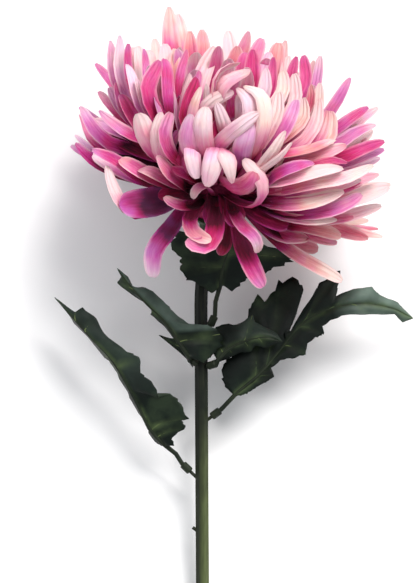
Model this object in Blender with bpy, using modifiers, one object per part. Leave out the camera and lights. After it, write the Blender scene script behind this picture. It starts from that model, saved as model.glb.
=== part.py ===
"""A spider chrysanthemum with fabric petals and leaves on a cut stem, lying face up.

Lengths are in metres and +Z is up. Every piece is modelled in the flower's own frame: X to the
right of its face, Y up the stem from the cut end, Z towards whoever looks at the face. One empty
then lays the whole flower down, so that it rests on its lowest back petals and the stem's end.
"""
import math
import random

import bmesh
import bpy
from mathutils import Matrix, Vector

# How the flower lies
LEAN = math.radians(7.5)            # the stem rises by this angle from its cut end to the bloom
UP = Vector((0.0, math.sin(LEAN), math.cos(LEAN)))
GAP = 0.0003                        # kept between pieces that meet
MM = 0.001

# Head: a round core that all petals grow from
HEAD_CENTRE = Vector((0.0065, 0.2344, 0.0193))
HEAD_AXIS = Vector((0.14, 0.78, 0.61)).normalized()
HEAD_RIGHT = (Vector((1.0, 0.0, 0.0)) - HEAD_AXIS * HEAD_AXIS.x).normalized()
HEAD_BACK = HEAD_AXIS.cross(HEAD_RIGHT)
CORE_RADIUS = 0.017
CORE_SEGMENTS = 16
CORE_RINGS = 10
ROOT_RADIUS = 0.014                 # the petals start this far from the centre, inside the core

# Petals that follow the rule, numbered from the outer ring to the middle
RULE_PETALS = 142
GOLDEN_ANGLE = math.radians(137.508)
OUTER_ROOT = math.radians(108.0)    # angle from the axis of the first petal's root
INNER_ROOT = math.radians(8.0)
PETAL_SEED = 7
LEAN_JITTER = math.radians(9.0)
TURN_JITTER = math.radians(4.0)
SWERVE = math.radians(9.0)
TWIST = math.radians(24.0)
LENGTH_JITTER = 0.08
CUP_TURN = math.radians(225.0)      # the rim between the left and the front is cupped upwards
CUP_LIFT = math.radians(70.0)
CUP_SHORTER = 0.12                  # and its petals are shorter by this share
CURL = 1.5                          # above 1, a petal bends more towards its tip
# (share of the way to the middle, value) for what changes from ring to ring
END_ANGLES = ((0.0, 92.0), (0.15, 70.0), (0.35, 32.0), (0.6, -8.0), (0.8, -42.0), (1.0, -50.0))
LENGTHS = ((0.0, 0.068), (0.3, 0.066), (0.5, 0.062), (0.7, 0.056), (0.85, 0.048), (1.0, 0.038))
WIDTHS = ((0.0, 0.0084), (0.5, 0.0088), (0.8, 0.0078), (1.0, 0.0060))

# One petal: a channelled strap, narrow at its root and rounded at its tip
PETAL_THICKNESS = 0.0009
CHANNEL_DEPTH = 0.2                 # as a share of the width
# (share of the length, share of the width), with more rows for petals that curl
RULE_SHAPE = ((0.0, 0.26), (0.3, 0.70), (0.65, 1.0), (0.95, 0.80))
SHAPED_SHAPE = ((0.0, 0.26), (0.25, 0.60), (0.5, 0.92), (0.75, 1.0), (0.95, 0.80))
CURLED_SHAPE = ((0.0, 0.26), (0.2, 0.54), (0.4, 0.82), (0.55, 0.95), (0.7, 1.0), (0.84, 1.0),
                (0.96, 0.78))
CURLED_FROM = 4                     # a petal with more guide points than this curls
PATH_STEPS = 24
FACING_HEIGHT = 0.035               # the inner faces look at this point on the axis

# A petal of the rule is left out where it would run this close to a shaped one, or end in front
ROOM = 0.0078
ROOM_SHARES = (0.45, 0.7)
FRONT_LIMIT = 0.036

# Where petals come near the surface that the flower lies on, they bend along it
BEND_SOFTNESS = 0.0015
BEND_REACH = 8.0                    # in softnesses above the surface, past which nothing bends
LOWEST_LINE = 0.0002
SURFACE_BLOCK = Vector((0.4, 0.7, 0.05))    # what dips below the surface is cut off with this

# Stem
STEM_RADIUS = 0.0031
STEM_RIDGES = 8
RIDGE_DEPTH = 0.0003
STEM_FOOT = Vector((0.0, 0.0, 0.0))
STEM_BEND = Vector((-0.0010, 0.178, 0.0))
NECK_STEPS = 7
NECK_END = HEAD_CENTRE - HEAD_AXIS * 0.026      # where the bent neck reaches the head's axis
STEM_TOP = HEAD_CENTRE - HEAD_AXIS * 0.009      # inside the core
SOCKET_MOUTH = HEAD_CENTRE - HEAD_AXIS * 0.030  # the core's hole for the stem is cut from here
SOCKET_SIDES = 16
NUB_HEIGHT = 0.068                  # a cut side shoot low on the left
NUB_REACH = 0.0062
NUB_AIM = Vector((-0.8, 0.6, 0.1)).normalized()

# Calyx: a turned cup that holds the core
CUP_INNER = CORE_RADIUS + GAP
CUP_OUTER = CORE_RADIUS + 0.0018
CUP_RIM = math.radians(124.0)       # angle from the axis of the cup's rim
CUP_FOOT = math.radians(158.0)      # and of the place where the cup narrows into its collar
CUP_STEPS = 4
CUP_SIDES = 20
COLLAR_RADIUS = 0.0052
COLLAR_END = 0.0255                 # below the head's centre
COLLAR_HEIGHT = 0.003
COLLAR_CHAMFER = 0.0006

# Leaves: a sleeve on the stalk's end fits over a peg on the stem
PEG_RADIUS = 0.0008
PEG_SIDES = 8
PEG_IN_SLEEVE = 0.0030
SLEEVE_RADIUS = 0.0019
SLEEVE_SIDES = 10
SLEEVE_LENGTH = 0.0052
BORE_LEAD = 0.002                   # the bore's cutter starts this far outside the sleeve
STALK_LEAD = 0.0005                 # the stalk leaves the sleeve straight for this length
STALK_RADIUS = 0.0011
RIB_TIP_RADIUS = 0.00045
RIB_STEPS = 6
RIB_END = 0.93                      # the rib fades out at this share of the blade
BLADE_THICKNESS = 0.0007

WELD = 1e-6                         # points closer than this become one

# Finishes: colour, roughness, sheen, and the angle from which an edge is shown sharp
PETAL_FABRIC = ((0.72, 0.13, 0.36, 1.0), 0.75, 0.4, math.radians(60.0))
LEAF_FABRIC = ((0.020, 0.050, 0.030, 1.0), 0.55, 0.1, math.radians(40.0))
STEM_COATING = ((0.045, 0.075, 0.030, 1.0), 0.5, 0.0, math.radians(50.0))
CALYX_PLASTIC = ((0.030, 0.060, 0.028, 1.0), 0.55, 0.0, math.radians(35.0))

# Petals shaped one by one: width in mm, how far the inner face is turned to the viewer (the outer
# face below 0), and points along the middle line after its root. A point is (column, row, depth):
# squares of the photographed view, 0.48 mm each, and mm towards the viewer.
SQUARE = 0.00048
VIEW_MIDDLE = (210.0, 291.5)
VIEW_POINT = Vector((0.00336, 0.18492, 0.0))
VIEW_DISTANCE = 3.5
VIEWER = Vector((0.0, 0.0, 1.0))
SHAPED_PETALS = (
    # left side
    (7.0, 0.5, (151, 154, 22), (112, 146, 26), (92, 128, 30), (80, 107, 32)),
    (7.0, 0.0, (151, 160, 12), (112, 157, 14), (88, 140, 18), (76, 116, 22)),
    (6.0, 0.5, (158, 146, 34), (128, 134, 36), (110, 122, 38), (98, 112, 38)),
    (7.0, 0.5, (140, 140, 20), (112, 128, 20), (93, 118, 18)),
    (6.5, 0.5, (166, 186, 36), (138, 178, 42), (115, 161, 45), (91, 153, 46)),
    (7.5, 0.5, (160, 186, 30), (130, 176, 36), (108, 165, 38), (92, 158, 38)),
    (13.0, 0.6, (174, 198, 36), (148, 204, 44), (122, 204, 50)),
    (7.6, 0.5, (150, 206, 32), (122, 212, 38), (106, 206, 44), (106, 188, 48),
     (106, 167, 46)),
    (8.6, -0.4, (168, 168, 40), (152, 150, 50), (143, 134, 54), (139, 113, 52)),
    (6.2, -0.3, (184, 192, 42), (168, 178, 54), (157, 156, 60), (153, 135, 62), (157, 112, 60)),
    (7.4, -0.3, (178, 170, 42), (166, 152, 54), (165, 132, 60), (169, 112, 58)),
    (8.0, 0.5, (172, 186, 38), (150, 178, 46), (133, 168, 48), (120, 160, 46)),
    (7.0, 0.5, (176, 186, 44), (160, 178, 50), (147, 170, 52), (138, 166, 50)),
    (8.5, 0.5, (196, 182, 40), (182, 166, 48), (168, 152, 50)),
    (8.0, 0.5, (200, 186, 42), (186, 176, 52), (170, 172, 54)),
    (9.0, 0.5, (165, 160, 26), (135, 148, 24), (112, 135, 22)),
    (9.0, 0.5, (165, 165, 20), (130, 155, 18), (112, 146, 16)),
    # left, standing up
    (6.2, 0.5, (160, 140, 18), (130, 110, 14), (114, 75, 10), (111, 40, 8)),
    (6.4, 0.5, (162, 138, 24), (132, 105, 20), (120, 72, 14), (119, 36, 12)),
    (5.0, 0.3, (164, 134, 30), (136, 100, 26), (128, 75, 20), (126, 45, 16)),
    (7.0, 0.4, (166, 132, 12), (142, 95, 4), (134, 47, -2)),
    (6.6, 0.4, (168, 132, 18), (146, 95, 10), (139, 45, 4)),
    (5.0, 0.2, (170, 132, 26), (149, 95, 22), (145, 48, 14)),
    (7.0, 0.3, (160, 135, 34), (138, 105, 36), (130, 62, 28)),
    (6.4, 0.2, (166, 134, 38), (146, 112, 40), (137, 78, 34)),
    (7.8, 0.6, (176, 139, 34), (154, 112, 42), (147, 88, 40), (158, 62, 32)),
    (5.6, 0.2, (150, 130, 8), (120, 95, 0), (108, 78, -6), (96, 62, -8)),
    (5.0, 0.2, (140, 135, 4), (115, 112, -2), (98, 93, -6)),
    (5.6, 0.3, (145, 135, 12), (122, 112, 10), (107, 90, 6)),
    (7.4, 0.4, (155, 140, 22), (128, 116, 22), (115, 84, 16)),
    (8.4, 0.4, (160, 142, 30), (138, 125, 32), (122, 92, 26)),
    (6.5, 0.5, (172, 128, 6), (160, 85, -6), (155, 38, -10)),
    (6.2, 0.4, (170, 130, 14), (153, 90, 6), (150, 48, 0)),
    (6.8, 0.3, (178, 136, 28), (164, 100, 24), (162, 60, 14)),
    (5.0, 0.2, (176, 140, 38), (161, 118, 44), (157, 96, 42)),
    # back, seen over the middle
    (7.6, 0.6, (190, 131, -6), (174, 70, -14), (168, 7, -16)),
    (8.0, 0.6, (196, 128, -12), (185, 70, -22), (178, 14, -24)),
    (8.0, 0.6, (200, 125, -4), (192, 75, -12), (190, 31, -14)),
    (8.2, 0.6, (208, 122, -8), (204, 75, -18), (202, 29, -20)),
    (8.4, 0.4, (196, 130, 20), (199, 85, 22), (213, 47, 14)),
    (7.0, 0.6, (208, 122, 0), (214, 80, -4), (219, 47, -8)),
    (8.0, 0.4, (190, 135, 34), (189, 102, 42), (203, 72, 40)),
    (5.6, 0.3, (182, 132, 26), (178, 85, 24), (186, 50, 16)),
    (7.0, 0.4, (180, 130, 18), (174, 85, 12), (175, 48, 6)),
    (7.2, 0.4, (178, 130, 14), (166, 80, 8), (165, 44, 2)),
    (7.6, 0.4, (182, 138, 32), (168, 105, 36), (166, 58, 26)),
    (7.5, 0.5, (232, 118, -20), (232, 70, -30), (228, 30, -32)),
    (8.0, 0.6, (226, 121, -18), (238, 70, -30), (249, 31, -28)),
    (7.4, 0.6, (236, 121, -12), (249, 75, -22), (262, 38, -24)),
    (8.6, 0.6, (226, 120, -8), (232, 80, -14), (238, 47, -16)),
    (8.0, 0.6, (234, 118, 0), (242, 80, -4), (246, 52, -8)),
    (8.0, 0.6, (240, 118, 8), (251, 82, 6), (253, 50, 0)),
    (7.0, 0.3, (186, 136, 36), (180, 108, 42), (191, 74, 34)),
    (6.6, 0.2, (182, 140, 42), (175, 118, 46), (178, 92, 44)),
    # upper right, short tips behind
    (6.6, 0.4, (250, 118, 10), (262, 85, 6), (269, 50, 0)),
    (8.6, 0.5, (256, 120, 4), (272, 80, -2), (279, 44, -6)),
    (6.6, 0.4, (258, 120, -4), (276, 80, -10), (286, 41, -12)),
    (5.6, 0.3, (256, 120, 18), (270, 92, 18), (274, 58, 12)),
    (6.0, 0.3, (264, 122, 8), (282, 90, 2), (288, 55, -2)),
    (5.8, 0.4, (266, 124, 14), (286, 92, 12), (296, 55, 6)),
    (6.2, 0.4, (270, 126, 24), (297, 102, 28), (306, 80, 24), (303, 54, 18)),
    (5.6, 0.3, (276, 130, 12), (305, 98, 10), (315, 62, 6)),
    (5.6, 0.3, (278, 132, 16), (311, 100, 16), (322, 58, 10)),
    (5.6, 0.3, (272, 138, 32), (300, 122, 38), (311, 104, 38), (311, 84, 34)),
    # upper right, long cream ones before them
    (6.6, 0.3, (252, 140, 50), (272, 110, 52), (284, 90, 46), (283, 70, 40)),
    (6.2, 0.3, (262, 150, 48), (284, 125, 50), (296, 100, 46), (294, 73, 40)),
    (6.6, 0.3, (266, 150, 44), (292, 130, 48), (304, 118, 46), (304, 97, 42)),
    (6.0, 0.3, (272, 152, 40), (302, 132, 42), (317, 110, 38), (321, 85, 34)),
    (7.0, 0.3, (266, 152, 54), (282, 134, 58), (292, 116, 56), (297, 100, 52)),
    (6.6, 0.3, (258, 148, 56), (270, 130, 60), (278, 112, 58), (277, 90, 52)),
    (6.6, 0.3, (250, 112, 42), (264, 94, 46), (267, 70, 40)),
    (6.0, 0.3, (280, 156, 46), (304, 142, 48), (317, 122, 44), (319, 98, 40)),
    (6.2, 0.3, (283, 158, 42), (308, 150, 44), (322, 132, 40), (328, 112, 36)),
    (8.4, 0.3, (286, 162, 40), (312, 152, 42), (328, 136, 38), (332, 112, 34)),
    (6.2, 0.4, (280, 150, 22), (318, 128, 25), (336, 104, 26), (350, 77, 24)),
    # right side
    (5.7, 0.6, (284, 158, 30), (330, 134, 34), (350, 119, 34), (368, 106, 32)),
    (5.9, 0.6, (284, 160, 24), (335, 138, 26), (360, 121, 26), (378, 109, 24)),
    (6.4, 0.6, (286, 163, 34), (340, 143, 36), (358, 131, 36), (376, 124, 34)),
    (5.9, 0.6, (288, 166, 30), (345, 150, 30), (373, 131, 28)),
    (6.7, 0.6, (284, 171, 42), (345, 157, 42), (366, 147, 41), (384, 139, 40)),
    (6.4, 0.6, (286, 176, 36), (345, 163, 36), (384, 148, 34)),
    (6.4, 0.6, (288, 178, 30), (345, 170, 30), (380, 158, 28)),
    (7.1, 0.6, (283, 166, 48), (315, 157, 50), (346, 146, 46)),
    (6.7, 0.6, (258, 190, 50), (280, 174, 62), (298, 166, 64), (314, 161, 60)),
    (4.7, 0.6, (262, 188, 46), (300, 172, 54), (330, 161, 54), (346, 164, 52)),
    (7.2, 0.6, (270, 184, 58), (300, 177, 62), (325, 170, 62), (344, 167, 58)),
    (6.7, 0.6, (275, 193, 54), (310, 185, 58), (345, 179, 56), (373, 168, 50)),
    (6.6, 0.6, (290, 190, 40), (345, 184, 42), (378, 177, 38)),
    (5.4, 0.6, (278, 197, 50), (320, 192, 52), (361, 180, 48)),
    (5.2, 0.6, (285, 198, 44), (330, 194, 46), (362, 182, 44)),
    (8.4, 0.6, (284, 204, 36), (345, 200, 38), (389, 189, 34)),
    (7.2, 0.6, (275, 205, 50), (305, 204, 54), (344, 193, 52)),
    (7.2, 0.6, (278, 212, 44), (320, 213, 48), (345, 206, 48), (362, 196, 46)),
    (6.0, 0.6, (284, 214, 34), (338, 218, 33), (381, 207, 30)),
    (6.4, 0.6, (284, 216, 40), (320, 220, 42), (353, 218, 40)),
    (4.5, 0.6, (280, 216, 46), (310, 221, 48), (337, 221, 46)),
    (7.2, 0.6, (284, 222, 26), (328, 228, 24), (368, 239, 20)),
    (6.7, 0.6, (280, 222, 32), (310, 228, 34), (342, 235, 32)),
    (5.9, 0.6, (276, 226, 28), (310, 236, 30), (337, 243, 28)),
    (6.7, 0.6, (266, 228, 30), (285, 237, 34), (309, 238, 32)),
    (7.2, 0.6, (266, 226, 14), (293, 243, 14), (318, 250, 13)),
    (6.4, 0.6, (262, 230, 22), (292, 253, 26), (318, 268, 26), (342, 281, 26)),
    # hanging under the bloom
    (8.4, 0.5, (186, 208, 34), (172, 228, 40), (155, 250, 42), (152, 278, 40)),
    (6.2, 0.5, (196, 206, 40), (184, 207, 50), (172, 203, 54), (165, 196, 54)),
    (4.6, 0.5, (212, 196, 40), (205, 187, 52), (196, 190, 58), (191, 198, 58)),
    (9.6, 0.5, (200, 208, 40), (192, 222, 48), (195, 234, 54), (209, 240, 58)),
    (10.5, 0.5, (216, 206, 42), (214, 228, 50), (212, 243, 56), (203, 250, 58), (189, 243, 56)),
    (6.6, 0.5, (228, 216, 30), (226, 236, 32), (221, 256, 30)),
    (6.2, 0.5, (234, 214, 46), (243, 229, 52), (256, 236, 54), (259, 252, 52)),
    (8.6, 0.5, (236, 222, 38), (242, 245, 44), (252, 268, 46), (264, 287, 44)),
    (10.0, 0.5, (216, 200, 40), (214, 215, 44), (212, 226, 46)),
    (10.0, 0.5, (228, 200, 40), (232, 213, 44), (240, 223, 44)),
    (10.0, 0.5, (245, 205, 36), (262, 216, 40), (288, 226, 38)),
    (9.0, 0.5, (250, 212, 30), (275, 228, 32), (302, 236, 30)),
    (9.0, 0.5, (196, 196, 38), (180, 194, 42), (158, 196, 42)),
    # under the head, carrying it
    (9.2, 0.0, (195, 164, -4), (166, 151, -38.5), (144, 121, -43)),
    (9.2, 0.0, (238, 164, -4), (267, 155, -40), (289, 121, -45)),
    # front: arched over, with their tips hanging down
    (7.4, 0.3, (205, 176, 46), (198, 158, 60), (194, 147, 68), (192, 158, 72), (195, 178, 70)),
    (9.4, 0.3, (214, 176, 50), (216, 158, 64), (217, 147, 71), (213, 160, 76), (211, 187, 74)),
    (8.4, 0.3, (226, 178, 50), (222, 158, 62), (226, 148, 70), (234, 160, 75), (237, 183, 73)),
    (10.6, 0.7, (222, 190, 46), (229, 196, 56), (241, 195, 66), (252, 186, 70), (259, 171, 70)),
    (6.2, 0.0, (232, 204, 46), (256, 208, 58), (267, 192, 66), (262, 174, 70), (247, 156, 70)),
    # middle: curled inwards round the eye
    (8.2, -0.3, (203, 172, 50), (190, 155, 62), (186, 138, 68), (192, 115, 68)),
    (9.0, -0.3, (209, 166, 54), (203, 145, 68), (202, 124, 73), (205, 106, 70)),
    (8.0, 0.6, (214, 160, 54), (216, 140, 62), (216, 118, 64)),
    (7.2, -0.3, (213, 156, 58), (226, 138, 73), (243, 124, 78), (258, 113, 75)),
    (9.0, -0.3, (240, 168, 56), (243, 150, 70), (246, 138, 74), (251, 124, 72)),
    (7.8, -0.2, (250, 162, 56), (262, 142, 69), (267, 115, 73), (262, 92, 70), (245, 81, 64)),
    (7.8, -0.2, (246, 140, 60), (252, 118, 70), (250, 98, 70), (237, 84, 64)),
    (7.4, 0.8, (236, 122, 50), (233, 110, 56), (233, 96, 56)),
    (6.8, -0.4, (226, 140, 60), (223, 124, 69), (215, 104, 70)),
    (6.0, 0.0, (202, 126, 56), (205, 108, 63), (217, 98, 65), (233, 92, 62)),
    (6.8, -0.2, (242, 124, 56), (243, 108, 62), (241, 92, 60)),
    (9.0, 0.6, (192, 140, 46), (184, 118, 52), (190, 96, 52), (199, 78, 48)),
    (6.6, -0.2, (198, 142, 54), (190, 122, 60), (193, 104, 60), (202, 90, 56)),
    (5.6, -0.2, (206, 120, 52), (204, 104, 58), (207, 84, 54)),
    (8.8, 0.4, (212, 120, 50), (210, 96, 60), (214, 76, 62), (224, 65, 60), (239, 60, 56)),
    (7.4, 0.4, (222, 118, 52), (216, 98, 62), (222, 84, 66), (233, 77, 64), (248, 74, 58)),
    # between the middle and the right side
    (8.0, -0.1, (258, 180, 54), (266, 165, 64), (276, 150, 69), (284, 131, 66)),
    (6.0, -0.1, (252, 182, 54), (266, 170, 64), (282, 158, 68), (295, 145, 64)),
    (8.2, 0.2, (268, 160, 50), (290, 156, 54), (315, 149, 52), (334, 138, 48)),
    (8.8, 0.6, (250, 172, 50), (256, 160, 58), (264, 145, 60)),
)

# Leaves. "joint" is where the peg's line meets the stem's middle, "aim" the way the peg points.
# An edge row is (share of the rib, left x, left y, right x, right y), seen from the face.
# The "left" and "right" rise is how far the widest part of that half stands towards the viewer.
LEAVES = {
    "leaf_1": {
        "joint": (-0.0008, 0.0935, 0.0), "aim": (-0.72, 0.69, 0.05),
        "stalk": ((-0.013, 0.107, 0.001),),
        "rib": ((-0.018, 0.111, 0.002), (-0.025, 0.118, 0.004), (-0.031, 0.130, 0.006),
                (-0.043, 0.151, 0.009), (-0.055, 0.164, 0.008), (-0.071, 0.182, 0.003)),
        "edges": ((0.03, -0.020, 0.111, -0.014, 0.111), (0.07, -0.023, 0.113, -0.015, 0.115),
                  (0.12, -0.026, 0.117, -0.008, 0.120), (0.15, -0.026, 0.119, -0.011, 0.123),
                  (0.18, -0.028, 0.123, -0.007, 0.124), (0.25, -0.031, 0.127, -0.011, 0.131),
                  (0.34, -0.035, 0.134, -0.016, 0.136), (0.38, -0.036, 0.137, -0.021, 0.134),
                  (0.46, -0.040, 0.143, -0.025, 0.142), (0.51, -0.041, 0.146, -0.030, 0.146),
                  (0.56, -0.045, 0.152, -0.030, 0.153), (0.62, -0.047, 0.153, -0.036, 0.156),
                  (0.76, -0.055, 0.163, -0.048, 0.165), (0.82, -0.059, 0.167, -0.051, 0.172),
                  (0.87, -0.062, 0.170, -0.058, 0.177), (0.90, -0.063, 0.172, -0.058, 0.173),
                  (0.94, -0.066, 0.176, -0.063, 0.176)),
        "left": -0.009, "right": 0.005},
    "leaf_2": {
        "joint": (-0.0010, 0.1210, 0.0), "aim": (0.80, 0.60, 0.06),
        "stalk": (),
        "rib": ((0.015, 0.135, 0.002), (0.028, 0.146, 0.003), (0.038, 0.158, 0.002),
                (0.047, 0.169, 0.002), (0.059, 0.176, 0.003), (0.075, 0.179, 0.004),
                (0.090, 0.177, 0.000), (0.101, 0.172, -0.006)),
        "edges": ((0.03, 0.011, 0.139, 0.018, 0.135), (0.06, 0.009, 0.144, 0.021, 0.136),
                  (0.09, 0.010, 0.150, 0.024, 0.138), (0.12, 0.014, 0.155, 0.027, 0.140),
                  (0.15, 0.021, 0.166, 0.031, 0.142), (0.17, 0.022, 0.176, 0.032, 0.143),
                  (0.19, 0.025, 0.182, 0.034, 0.144), (0.21, 0.031, 0.181, 0.033, 0.147),
                  (0.23, 0.036, 0.188, 0.032, 0.148), (0.26, 0.045, 0.192, 0.035, 0.150),
                  (0.28, 0.048, 0.185, 0.037, 0.152), (0.31, 0.045, 0.175, 0.041, 0.153),
                  (0.34, 0.038, 0.166, 0.044, 0.153), (0.38, 0.042, 0.166, 0.049, 0.155),
                  (0.42, 0.048, 0.176, 0.050, 0.160), (0.45, 0.054, 0.185, 0.054, 0.163),
                  (0.49, 0.056, 0.189, 0.057, 0.164), (0.52, 0.066, 0.195, 0.058, 0.165),
                  (0.55, 0.065, 0.189, 0.057, 0.168), (0.58, 0.064, 0.183, 0.061, 0.171),
                  (0.66, 0.072, 0.186, 0.068, 0.174), (0.76, 0.081, 0.187, 0.078, 0.174),
                  (0.82, 0.085, 0.183, 0.084, 0.174), (0.90, 0.093, 0.180, 0.092, 0.174),
                  (0.95, 0.096, 0.177, 0.096, 0.170)),
        "left": -0.006, "right": 0.003},
    "leaf_3": {
        "joint": (-0.0010, 0.1490, 0.0), "aim": (-0.50, 0.35, 0.79),
        "stalk": (),
        "rib": ((-0.007, 0.154, 0.0115), (-0.012, 0.161, 0.012), (-0.019, 0.171, 0.013),
                (-0.030, 0.182, 0.014), (-0.041, 0.196, 0.011)),
        "edges": ((0.04, -0.005, 0.149, 0.000, 0.151), (0.10, -0.008, 0.153, 0.006, 0.156),
                  (0.16, -0.021, 0.164, 0.009, 0.159), (0.22, -0.012, 0.160, 0.009, 0.165),
                  (0.30, -0.015, 0.164, 0.002, 0.169), (0.40, -0.018, 0.168, -0.006, 0.169),
                  (0.50, -0.025, 0.174, -0.013, 0.174), (0.58, -0.023, 0.176, -0.018, 0.179),
                  (0.68, -0.028, 0.180, -0.024, 0.185), (0.76, -0.032, 0.182, -0.029, 0.187),
                  (0.84, -0.041, 0.189, -0.033, 0.186), (0.92, -0.039, 0.192, -0.036, 0.192)),
        "left": -0.006, "right": -0.004},
    "leaf_4": {
        "joint": (-0.0010, 0.1480, 0.0), "aim": (0.75, 0.25, 0.61),
        "stalk": (),
        "rib": ((0.007, 0.152, 0.0062), (0.012, 0.157, 0.0065), (0.020, 0.161, 0.007),
                (0.030, 0.163, 0.008), (0.038, 0.161, 0.007)),
        "edges": ((0.08, 0.003, 0.159, 0.002, 0.149), (0.18, 0.004, 0.166, 0.012, 0.153),
                  (0.28, 0.009, 0.169, 0.014, 0.154), (0.40, 0.016, 0.169, 0.019, 0.156),
                  (0.52, 0.024, 0.174, 0.023, 0.156), (0.60, 0.025, 0.170, 0.025, 0.159),
                  (0.72, 0.029, 0.168, 0.030, 0.158), (0.86, 0.035, 0.165, 0.035, 0.160)),
        "left": -0.005, "right": -0.002},
    "leaf_5": {
        "joint": (-0.0010, 0.1580, 0.0), "aim": (0.38, 0.88, 0.28),
        "stalk": ((0.006, 0.180, 0.0065),),
        "rib": ((0.008, 0.187, 0.009), (0.010, 0.198, 0.014), (0.013, 0.206, 0.018),
                (0.016, 0.213, 0.022)),
        "edges": ((0.06, 0.004, 0.184, 0.010, 0.188), (0.12, 0.000, 0.187, 0.014, 0.185),
                  (0.22, -0.004, 0.190, 0.018, 0.189), (0.32, -0.008, 0.191, 0.021, 0.191),
                  (0.42, -0.011, 0.197, 0.030, 0.193), (0.50, -0.010, 0.201, 0.033, 0.196),
                  (0.60, -0.015, 0.206, 0.039, 0.198), (0.68, -0.014, 0.210, 0.043, 0.201),
                  (0.78, -0.013, 0.214, 0.038, 0.205), (0.88, -0.004, 0.212, 0.031, 0.206),
                  (0.94, 0.006, 0.211, 0.024, 0.211)),
        "left": -0.003, "right": -0.004},
}


def clear_scene():
    for old in list(bpy.data.objects):
        bpy.data.objects.remove(old, do_unlink=True)


def new_collection(name):
    collection = bpy.data.collections.new(name)
    bpy.context.scene.collection.children.link(collection)
    return collection


def finish_material(name, finish):
    """A material from a finish, with the angle from which its edges are shown sharp."""
    colour, roughness, sheen, sharp_from = finish
    material = bpy.data.materials.new(name)
    material.use_nodes = True
    shader = material.node_tree.nodes["Principled BSDF"]
    shader.inputs["Base Color"].default_value = colour
    shader.inputs["Roughness"].default_value = roughness
    shader.inputs["Sheen Weight"].default_value = sheen
    return material, sharp_from


def mesh_object(name, bm, collection):
    """Puts a bmesh into a new object, with its faces pointing outwards."""
    bmesh.ops.recalc_face_normals(bm, faces=bm.faces)
    mesh = bpy.data.meshes.new(name)
    bm.to_mesh(mesh)
    bm.free()
    made = bpy.data.objects.new(name, mesh)
    collection.objects.link(made)
    return made


def evaluated_mesh(source):
    depsgraph = bpy.context.evaluated_depsgraph_get()
    return bpy.data.meshes.new_from_object(source.evaluated_get(depsgraph))


def mark_cutters(cutters):
    """Marks a collection's objects as tools that aren't part of the flower."""
    for cutter in cutters.objects:
        cutter.hide_render = True
        cutter.display_type = "WIRE"


def combine(base, others, operation, solver="EXACT"):
    """Joins a collection's objects to the base, or cuts them from it, and removes them."""
    modifier = base.modifiers.new("combine", "BOOLEAN")
    modifier.operation = operation
    modifier.operand_type = "COLLECTION"
    modifier.collection = others
    modifier.solver = solver
    base.data = evaluated_mesh(base)
    base.modifiers.clear()
    for used in list(others.objects):
        bpy.data.objects.remove(used, do_unlink=True)


def keep_largest_body(target):
    """Drops loose scraps and the skins of sealed hollows, which a union can leave behind."""
    bm = bmesh.new()
    bm.from_mesh(target.data)
    unseen = set(bm.verts)
    bodies = []
    while unseen:
        body = {unseen.pop()}
        border = list(body)
        while border:
            vertex = border.pop()
            for edge in vertex.link_edges:
                other = edge.other_vert(vertex)
                if other in unseen:
                    unseen.remove(other)
                    body.add(other)
                    border.append(other)
        bodies.append(body)
    largest = max(bodies, key=len)
    bmesh.ops.delete(bm, geom=[v for v in bm.verts if v not in largest], context="VERTS")
    bm.to_mesh(target.data)
    bm.free()


def shade(target, finished):
    material, sharp_from = finished
    target.data.materials.clear()
    target.data.materials.append(material)
    target.data.shade_smooth()
    target.data.set_sharp_from_angle(angle=sharp_from)


def rod(name, start, end, radius, sides, collection):
    """A closed cylinder between two points."""
    start = Vector(start)
    line = Vector(end) - start
    place = Matrix.Translation(start + line / 2) @ line.to_track_quat("Z", "Y").to_matrix().to_4x4()
    bm = bmesh.new()
    bmesh.ops.create_cone(bm, cap_ends=True, segments=sides, radius1=radius, radius2=radius,
                          depth=line.length, matrix=place)
    return mesh_object(name, bm, collection)


def tube(name, points, radii, resolution, collection):
    """A tube of changing radius along the points, as a closed mesh."""
    curve = bpy.data.curves.new(name, "CURVE")
    curve.dimensions = "3D"
    curve.bevel_depth = 1.0
    curve.bevel_resolution = resolution
    curve.use_fill_caps = True
    spline = curve.splines.new("POLY")
    spline.points.add(len(points) - 1)
    for control, point, radius in zip(spline.points, points, radii):
        control.co = (*point, 1.0)
        control.radius = radius
    return curve_as_mesh(name, curve, collection)


def curve_as_mesh(name, curve, collection):
    source = bpy.data.objects.new(name, curve)
    collection.objects.link(source)
    bm = bmesh.new()
    bm.from_mesh(evaluated_mesh(source))
    bmesh.ops.remove_doubles(bm, verts=bm.verts, dist=WELD)
    bmesh.ops.triangulate(bm, faces=bm.faces)
    bpy.data.objects.remove(source, do_unlink=True)
    return mesh_object(name, bm, collection)


def between(table, share):
    """The value of a table of (share, value) rows at a share, on straight lines between rows."""
    for (low, a), (high, b) in zip(table, table[1:]):
        if share <= high:
            return a + (b - a) * (share - low) / (high - low)
    return table[-1][1]


def smooth_point(points, share):
    """A point at a share of the length of a smooth curve through the given points."""
    marks = [0.0]
    for a, b in zip(points, points[1:]):
        marks.append(marks[-1] + (b - a).length)
    goal = share * marks[-1]
    last = len(points) - 1
    i = min(sum(1 for mark in marks[1:-1] if mark <= goal), last - 1)
    span = marks[i + 1] - marks[i]
    t = (goal - marks[i]) / span

    def slope(k):
        before, after = max(k - 1, 0), min(k + 1, last)
        return (points[after] - points[before]) * (span / (marks[after] - marks[before]))

    start, end = points[i], points[i + 1]
    return (start * (2 * t ** 3 - 3 * t ** 2 + 1) + end * (3 * t ** 2 - 2 * t ** 3)
            + slope(i) * (t ** 3 - 2 * t ** 2 + t) + slope(i + 1) * (t ** 3 - t ** 2))


def head_direction(lean, turn):
    """Unit vector at an angle from the head's axis, turned from its right side over its back."""
    outward = HEAD_RIGHT * math.cos(turn) + HEAD_BACK * math.sin(turn)
    return HEAD_AXIS * math.cos(lean) + outward * math.sin(lean)


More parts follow.
